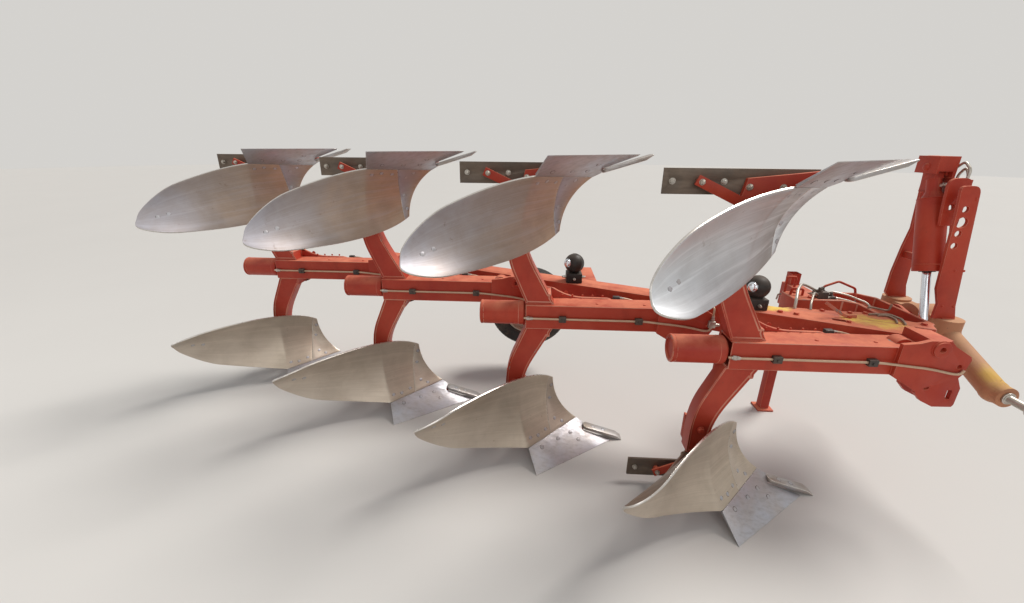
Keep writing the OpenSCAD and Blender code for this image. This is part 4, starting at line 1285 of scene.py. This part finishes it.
@dataclass
class BeamAndFrame(Assembly):
    """Main beam, turning frame and crank, with the beam's bolts and welds."""

    low: float = 796.0
    side_y: float = 96.0  # near face of the beam, level with a station's own point
    slant: float = FURROW / PITCH

    def build(self) -> None:
        """Dresses the nodes and adds bolts and welds."""
        shop = self.shop
        shop.dress("main_beam", 0.006, 3, Look.FRAME_RED)
        shop.dress("front_frame", 0.005, 3, Look.FRAME_RED)
        shop.dress("crank")
        out = Vector((-self.slant, -1, 0)).normalized()
        beads = []
        heads: list[Matrix] = []
        for station in every_station():
            for z in (self.low + 4, DECK_Z - 4):
                beads.append(shop.bead([station.spot(x, self.side_y - x * self.slant - 0.5, z) for x in (211, 356)]))
            if station.index < STATIONS:
                heads += shop.seats((station.spot(x, self.side_y - x * self.slant, MID_Z - 40) for x in (-210, -110)),
                                    out, 0.8)
        self.fasteners.fit(Fastener.CUP, heads, "beam_bolts")
        shop.finish(beads, "beam_welds", Look.RED, degrees=60.0)


@dataclass
class Accumulators(Assembly):
    """Pressure spheres that lie on their valve blocks on the beam."""

    count: int = 3
    foot: Point = (-331.0, 312.0, DECK_Z + 0.3)
    block_half: float = 0.05
    block_tall: float = 0.062
    ball_r: float = 62.5
    ball_z: float = 0.120
    lean: float = math.radians(80)
    heading: float = math.radians(-141)

    def arc(self, degrees: Iterable[int]) -> list[tuple[float, float]]:
        """Returns places of the sphere's outline, by their turn from its foot."""
        return [(self.ball_r * math.sin(math.radians(a)), -self.ball_r * math.cos(math.radians(a))) for a in degrees]

    def build(self) -> None:
        """Turns the spheres with their bright caps, and makes the blocks under them."""
        shop = self.shop
        way = Vector((math.sin(self.lean) * math.cos(self.heading), math.sin(self.lean) * math.sin(self.heading),
                      math.cos(self.lean)))
        ball = [*self.arc(range(0, 85, 7)), (63.6, -4), (63.6, 4), *self.arc(range(96, 158, 6)), (25, 59), (0, 59)]
        cap = [(0, 58), (27, 58), (27, 61), (24, 62.5), (25, 66), (23, 70), (17, 73), (8, 74), (0, 74)]
        collar = [(0, 61), (30, 61), (31, 63), (31, 68), (28, 71), (0, 71)]
        pieces = []
        caps = []
        plugs: list[Matrix] = []
        for station in every_station()[:self.count]:
            foot = station.spot(*self.foot)
            middle = foot + UP * self.ball_z
            corner = Vector((self.block_half, self.block_half, 0))
            pieces += [shop.bar(foot - corner, foot + corner + UP * self.block_tall),
                       shop.turned(ball, 40, middle, way), shop.turned(collar, 24, foot, UP)]
            caps.append(shop.turned(cap, 28, middle, way))
            for side in (-LEFT, AHEAD, -AHEAD):
                plugs.append(shop.seat(foot + UP * 0.030 + side * self.block_half, side, 0.72))
        shop.finish(pieces, "pressure_spheres", Look.BLACK, degrees=34.0, nodes=("accumulators",))
        shop.finish(caps, "sphere_caps", Look.CHROME, slot="plain_steel")
        self.fasteners.fit(Fastener.UNION, plugs, "sphere_unions")


@dataclass
class TopFittings(Assembly):
    """Lever, rails, guards, pipes and valves that stand on the beam and the turning frame."""

    tray: float = 891.3
    lever_y: float = 192.0
    lever_wide: float = 0.008
    lever_deep: float = 0.016
    rail_r: float = 0.0052
    guard_r: float = 0.0068

    def lever(self) -> Piece:
        """Returns the flat lever that is bent along its route."""
        shop = self.shop
        route = [at(x, self.lever_y, z) for x, z in ((140, 954), (84, 954), (60, 966), (-32, 1026))]
        wide = Vector((0, self.lever_wide, 0))
        sides: list[list[Vector]] = [[], []]
        for i, place in enumerate(route):
            along = (route[min(i + 1, len(route) - 1)] - route[max(i - 1, 0)]).normalized()
            out = along.cross(wide).normalized() * (self.lever_deep / 2)
            sides[0].append(place + out)
            sides[1].append(place - out)
        return shop.paint(shop.round_edges(shop.outline(sides[0] + sides[1][::-1], wide), 0.0012), Look.EDGE)

    def steel(self) -> None:
        """Makes the bare lever, rails and hook."""
        shop = self.shop
        routes = (
            ((236, 240, 946), (236, 240, 953), (340, 240, 953), (352, 176, 953), (322, 112, 953), (322, 112, 946)),
            ((272, 226, 946), (272, 226, 953), (318, 222, 953), (322, 176, 953), (296, 132, 953), (296, 132, 946)),
            ((308, 350, 947), (308, 350, 954), (372, 292, 954), (375, 290, 992)))
        rails = [shop.paint(shop.tube(route, 14.0, self.rail_r), Look.STAY) for route in routes]
        shop.place(shop.join([self.lever(), *rails]), "lever_and_rails", "plain_steel")

    def rods(self) -> None:
        """Makes the red hoop and guard on the far member, and the bent grey pipes."""
        shop = self.shop
        guards = (((-8, 612, 942), (-8, 612, 1040), (44, 612, 1040), (44, 612, 942)),
                  ((206, 612, 942), (220, 612, 985), (298, 612, 1018), (404, 612, 976), (414, 612, 942)),
                  ((0, 560, 942), (0, 560, 985), (60, 545, 985), (60, 545, 942)))
        pipes = (
            (0.0075, ((-104, 318, 944), (-102, 326, 985), (-62, 400, 1028), (0, 480, 1038), (66, 524, 1012),
                      (126, 535, 982))),
            (0.0062, ((188, 536, 962), (250, 586, 962), (330, 560, 950), (398, 470, 930), (400, 440, 893))),
            (0.0062, ((188, 520, 945), (240, 540, 940), (300, 500, 935), (352, 420, 925), (356, 400, 893))),
            (0.0055, ((-30, 300, 946), (-24, 320, 975), (30, 400, 1000), (80, 470, 990), (130, 512, 965))))
        shop.finish([shop.tube(route, 12.0, self.guard_r) for route in guards], "guards", Look.RED)
        shop.finish([shop.tube(route, 26.0, radius) for radius, route in pipes], "frame_pipes", Look.ZINC)

    def valves(self) -> None:
        """Makes the valve blocks in the tray with their unions and caps."""
        shop = self.shop
        pieces = [shop.bar(at(*low, self.tray), at(*high)) for low, high in (
            ((122, 502), (186, 562, 982)), ((196, 512), (238, 556, 952)), ((140, 566), (222, 600, 936)))]
        cap = ((0, -1), (15, -1), (15, 6), (11, 8), (11, 20), (9, 23), (0, 24))
        for place, size in (((140, 520, 982), 1.0), ((168, 544, 982), 0.85), ((217, 534, 952), 0.9),
                            ((162, 583, 936), 0.7)):
            pieces.append(shop.turned([(r * size, h * size) for r, h in cap], 20, at(*place), UP))
        shop.finish(pieces, "valve_blocks", Look.DARK, degrees=34.0)
        seats = [shop.seat(at(x, y, z), Vector((way, 0, 0)), 0.8) for x, y, z, way in (
            (122, 530, 965, -1), (186, 536, 962, 1), (186, 520, 945, 1), (122, 514, 962, -1), (238, 534, 925, 1))]
        self.fasteners.fit(Fastener.UNION, seats, "valve_unions")

    def build(self) -> None:
        """Makes every fitting and the bolts of the deck."""
        self.steel()
        self.rods()
        self.valves()
        heads = [self.shop.seat(at(x, y, DECK_Z), UP, size) for x, y, size in (
            (102, 197, 0.95), (-150, 222, 0.9), (-220, 250, 0.9), (60, 130, 0.8), (420, 120, 0.9),
            (20, 285, 0.8), (150, 262, 0.8), (230, 262, 0.8), (40, 590, 0.9), (80, 500, 0.9))]
        self.fasteners.fit(Fastener.HEX, heads, "deck_bolts")


@dataclass
class Headstock(Assembly):
    """Mast, hub, cross piece, link pins and the turnover cylinder."""

    pivot: Point = (535.0, 494.0, 1690.0)
    lean: float = math.radians(16.9476)
    gland: float = 545.0  # from the pivot along the barrel
    pin: Point = (655.0, 290.0, 700.0)  # middle between the two link pins
    pin_span: float = 435.0  # from that middle to each pin
    barrel_pipe_r: float = 0.0048
    mast_pipe_r: float = 0.0066
    weld_r: float = 0.003
    foot_z: float = 936.5

    def on_barrel(self, down: float, angle: float, radius: float) -> tuple[Vector, Vector]:
        """Gives a place on the barrel and the way out of it.

        Args:
            down: Distance from the pivot along the barrel, in millimetres.
            angle: Turn about the barrel's axis, from the way of travel to the left, in radians.
            radius: Distance from the axis, in millimetres.

        Returns:
            The place and the direction, in the scene.
        """
        side = Vector((0, math.cos(self.lean), -math.sin(self.lean)))
        out = AHEAD * math.cos(angle) + side * math.sin(angle)
        return at(*self.pivot) + (self.axis * down + out * radius) / 1000, out

    @property
    def axis(self) -> Vector:
        """Way of the barrel from its pivot."""
        return Vector((0, -math.sin(self.lean), -math.cos(self.lean)))

    def barrel(self) -> None:
        """Adds the barrel's pipe, its unions, its gland seal and its weld beads."""
        shop = self.shop
        body = "turnover_barrel"
        seats = [shop.seat(*self.on_barrel(100, math.radians(-70), 30), 0.85),
                 shop.seat(*self.on_barrel(508, math.radians(-35), 62), 0.6)]
        route = [self.on_barrel(down, math.radians(angle), radius)[0] for down, angle, radius in (
            (508, -35, 62), (506, -35, 76), (480, -35, 76), (210, -35, 76), (178, -38, 66), (150, -50, 40))]
        shop.finish([shop.rod(route, self.barrel_pipe_r, 10)], "barrel_pipe", Look.RED, body)
        self.fasteners.fit(Fastener.UNION, seats, "barrel_unions", body=body)
        seal = shop.turned(((23.4, -3.5), (33, -3.5), (36, 0), (36, 2), (23.4, 2)), 36,
                           self.on_barrel(self.gland, 0, 0)[0], -self.axis)
        shop.finish([seal], "gland_seal", Look.SEAL, body, 40.0)
        rings = [shop.bead([self.on_barrel(down, k * 0.14, radius)[0] for k in range(46)], self.weld_r)
                 for down, radius in ((165.5, 62.5), (511, 62.8))]
        shop.finish(rings, "barrel_welds", Look.RED, body, 60.0)

    def loops(self) -> None:
        """Makes the bent pipes that stand in front of the mast's web."""
        shop = self.shop
        rods = []
        for y0, y1, top, x in ((372, 452, 1722, 600), (388, 436, 1694, 614)):
            route = ((588, y0, 1596), (x, y0, 1606), (x + 4, y0 - 4, top - 40), (x + 4, (y0 + y1) / 2, top),
                     (x + 4, y1 + 8, top - 40), (x, y1, 1606), (588, y1, 1596))
            rods.append(shop.tube(route, 20.0, self.mast_pipe_r))
        shop.finish(rods, "mast_pipes", Look.ZINC, "headstock")

    def clips(self) -> None:
        """Makes the linch pins of the link pins: a shank, and a sprung ring over the pin's end."""
        shop = self.shop
        pieces = []
        for side in (-1, 1):
            place = at(self.pin[0], self.pin[1] + side * (self.pin_span + 96), self.pin[2])
            shank = [place + UP * height for height in (-0.027, -0.025, 0.026, 0.030)]
            ring = [place + Vector((0.024 * math.sin(a * 0.4), 0.004 * side, 0.030 * math.cos(a * 0.4)))
                    for a in range(17)]
            pieces += [shop.rod(shank, 0.0045, 12, (0.6, 1.0, 1.0, 1.4)), shop.rod(ring, 0.0022, 8)]
        shop.finish(pieces, "linch_pins", Look.ZINC, "headstock")

    def welds(self) -> None:
        """Adds the beads at the mast's feet and head, and the studs of its plates and pivot."""
        shop = self.shop
        beads = [shop.bead([at(x, y, self.foot_z) for x in (610, end)]) for y, end in (
            (244.5, 676), (261.5, 676), (599.5, 700), (616.5, 700))]
        beads += [shop.bead([at(574.5, y, z) for y in (324, 590)]) for z in (1556, 1638)]
        shop.finish(beads, "mast_welds", Look.RED, "headstock", 60.0)
        studs = shop.seats((at(x, 245, z) for x, z in ((592, 1006), (650, 1004), (590, 1198), (632, 1198),
                                                       (566, 1553))), -LEFT, 0.42)
        studs.append(shop.seat(at(492, *self.pivot[1:]), -AHEAD, 1.3))
        self.fasteners.fit(Fastener.CUP, studs, "mast_studs", body="headstock")

    def build(self) -> None:
        """Dresses the nodes and adds pipes, pins, bolts and welds."""
        shop = self.shop
        for node in ("near_mast_plate", "far_mast_plate", "mast_head", "mast_braces"):
            shop.dress(node, 0.0025, body="headstock")
        shop.dress("hub_yoke", 0.005, 3, Look.SADDLE, Look.SADDLE, "headstock")
        shop.dress("link_pins", 0.002, 2, Look.ZINC, Look.RIM, "headstock")
        shop.dress("cylinder_barrel", 0.002, body="turnover_barrel")
        shop.dress("cylinder_rod", 0.0012, 2, Look.CHROME, Look.CHROME, "turnover_rod")
        self.barrel()
        self.loops()
        self.clips()
        self.welds()


@dataclass
class WheelAndStand(Assembly):
    """Depth wheel with its arm and bracket, and the parking stand."""

    hub: Point = (-1580.0, 1275.0, 555.0)
    plate_y: float = 1295.0
    bore: float = 23.5
    nut_ring: float = 61.0
    pin: Point = (130.0, 781.0, 872.0)
    pin_r: float = 0.007
    grip_r: float = 0.005

    def hollow(self, piece: Piece) -> None:
        """Sinks the top face between the walls of the stand's tube."""
        top = max(vertex.co.z for vertex in piece.data.vertices)
        self.shop.sink(piece, lambda middle, normal: normal.z > 0.99 and middle.z > top - 0.0005,
                       0.006, (0, 0, -0.12))

    def wheel(self) -> None:
        """Turns the ribbed tyre and the hub plate, and adds the wheel's nuts."""
        shop = self.shop
        half = [(202, -72), (203, -82), (214, -92), (238, -99), (262, -99.6), (284, -94), (299, -84), (306, -74),
                (309.6, -58), (309.6, -36), (302, -33), (302, -27), (309.9, -24), (309.9, -4), (302, -2)]
        tyre = shop.turned(half + [(r, -across) for r, across in reversed(half)], 64, at(*self.hub), LEFT)
        shop.finish([tyre], "ribbed_tyre", Look.TYRE, "depth_wheel", 38.0, ("tyre",))
        x, _, z = self.hub
        plate = shop.turned([(self.bore, 0), (84, 0), (84, 4), (78, 8), (44, 8), (40, 24), (self.bore, 24)], 48,
                            at(x, self.plate_y, z), LEFT)
        shop.finish([plate], "hub_plate", Look.CREAM, "depth_wheel", 30.0)
        turns = [k * math.pi / 3 for k in range(6)]
        nuts = shop.seats((at(x + self.nut_ring * math.cos(turn), self.plate_y + 8, z + self.nut_ring * math.sin(turn))
                           for turn in turns), LEFT, 0.9)
        self.fasteners.fit(Fastener.NUT, nuts, "wheel_nuts", Look.ZINC, "depth_wheel")

    def build(self) -> None:
        """Dresses the nodes, and makes the wheel and the stand's pin."""
        shop = self.shop
        shop.dress("wheel_bracket", 0.004)
        shop.dress("stand_bracket")
        shop.dress("stand_leg", body="parking_stand", shape=self.hollow)
        shop.dress("wheel_arm", body="depth_wheel_arm")
        shop.dress("wheel_rim", 0.002, 2, Look.CREAM, Look.CREAM, "depth_wheel")
        self.wheel()
        x, y, z = self.pin
        pin = shop.rod([at(x + step, y, z) for step in (-62, -44, -42)], self.pin_r)
        grip = shop.tube(((x - 60, y, z), (x - 74, y, z), (x - 78, y, z - 36)), 6.0, self.grip_r)
        shop.finish([pin, grip], "stand_pin", Look.ZINC)


@dataclass
class Setting:
    """Floor, lamps, world and camera."""

    shop: Shop
    lens: float = 15.18
    eye: Vector = field(default_factory=lambda: Vector((0.103, -2.352, 1.794)))
    pitch: float = math.radians(20.26)
    roll: float = math.radians(0.50)
    yaw: float = math.radians(-2.94)
    floor_colour: Colour = (0.66, 0.64, 0.61)
    ground_colour: Colour = (0.66, 0.645, 0.62)
    sky_colour: Colour = (0.93, 0.96, 1.0)
    sky_power: float = 0.32
    sun_colour: Colour = (1.0, 0.97, 0.93)

    def camera(self) -> None:
        """Sets the camera at the photo's viewing angle."""
        sin, cos = math.sin(self.yaw), math.cos(self.yaw)
        ahead, right = Vector((sin, cos, 0)), Vector((cos, -sin, 0))
        look = ahead * math.cos(self.pitch) - UP * math.sin(self.pitch)
        lift = UP * math.cos(self.pitch) + ahead * math.sin(self.pitch)
        side = right * math.cos(self.roll) + lift * math.sin(self.roll)
        head = lift * math.cos(self.roll) - right * math.sin(self.roll)
        camera = self.shop.fresh(bpy.ops.object.camera_add, location=self.eye)
        camera.matrix_world = Matrix.Translation(self.eye) @ Matrix((side, head, -look)).transposed().to_4x4()
        camera.data.lens = self.lens
        camera.data.sensor_width = 36.0
        camera.data.sensor_fit = "HORIZONTAL"
        camera.data.clip_start = 0.05
        camera.data.clip_end = 200.0
        bpy.context.scene.camera = camera

    def floor(self) -> None:
        """Lays the plain pale floor."""
        g = Surface("studio_floor")
        cloud = g.noise(g.place(), 0.8, 3.0)
        tone = g.mix(g.span(cloud, 0.3, 0.7, 0.0, 0.35), self.floor_colour, shade(self.floor_colour, 0.96))
        floor = self.shop.fresh(bpy.ops.mesh.primitive_circle_add, vertices=96, radius=40.0, fill_type="NGON")
        floor.name = "studio_floor"
        floor.data.materials.append(g.dress(tone, 0.85))

    def lamp(self, kind: str, where: Point, aim: Point, **values: object) -> None:
        """Hangs a lamp that faces a place.

        Args:
            kind: Blender's name of the kind of lamp.
            where: Place of the lamp.
            aim: Place that it faces.
            values: Settings of the lamp.
        """
        lamp = self.shop.fresh(bpy.ops.object.light_add, type=kind, location=where)
        for key, value in values.items():
            setattr(lamp.data, key, value)
        lamp.rotation_euler = (Vector(where) - Vector(aim)).to_track_quat("Z", "Y").to_euler()

    def sky(self) -> None:
        """Lights the world evenly, with a pale ground for the camera and for reflections."""
        world = bpy.data.worlds.new("studio")
        bpy.context.scene.world = world
        world.use_nodes = True
        g = Graph(world.node_tree)
        ray = g.add("LightPath", {}).outputs
        seen = g.calc("MAXIMUM", ray["Is Camera Ray"], ray["Is Glossy Ray"])
        seen = g.calc("MAXIMUM", seen, ray["Is Transmission Ray"])
        light = g.add("Background", {0: self.sky_colour, 1: self.sky_power})
        ground = g.add("Background", {0: self.ground_colour, 1: 1.0})
        both = g.add("MixShader", {0: seen, 1: light.outputs[0], 2: ground.outputs[0]})
        g.add("OutputWorld", {0: both.outputs[0]})

    def build(self) -> None:
        """Sets up the studio."""
        bpy.context.scene.view_settings.view_transform = "Standard"
        self.camera()
        self.floor()
        self.sky()
        self.lamp("SUN", (2.48, 1.44, 3.80), (0, 0, 0), energy=2.75, angle=math.radians(24.0), color=self.sun_colour)
        self.lamp("AREA", (1.6, -5.6, 3.6), (0, 0, 0.8), shape="SQUARE", size=4.0, energy=58.0)
        self.lamp("AREA", (-5.6, -2.4, 3.8), (0, 0, 0.8), shape="SQUARE", size=5.0, energy=34.0)


def main() -> None:
    """Builds the studio and every sub-assembly, and reports each piece."""
    logging.basicConfig(level=logging.INFO, format="%(name)s: %(message)s")
    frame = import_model()
    shop = Shop(frame)
    Setting(shop).build()
    fasteners = Fasteners(shop)
    for assembly in (Moldboards, Ground, LegsAndArms, Pipework, BeamAndFrame, Accumulators, TopFittings, Headstock,
                     WheelAndStand):
        assembly(shop, fasteners).build()
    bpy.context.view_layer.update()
    shop.take()


if __name__ == "__main__":
    main()
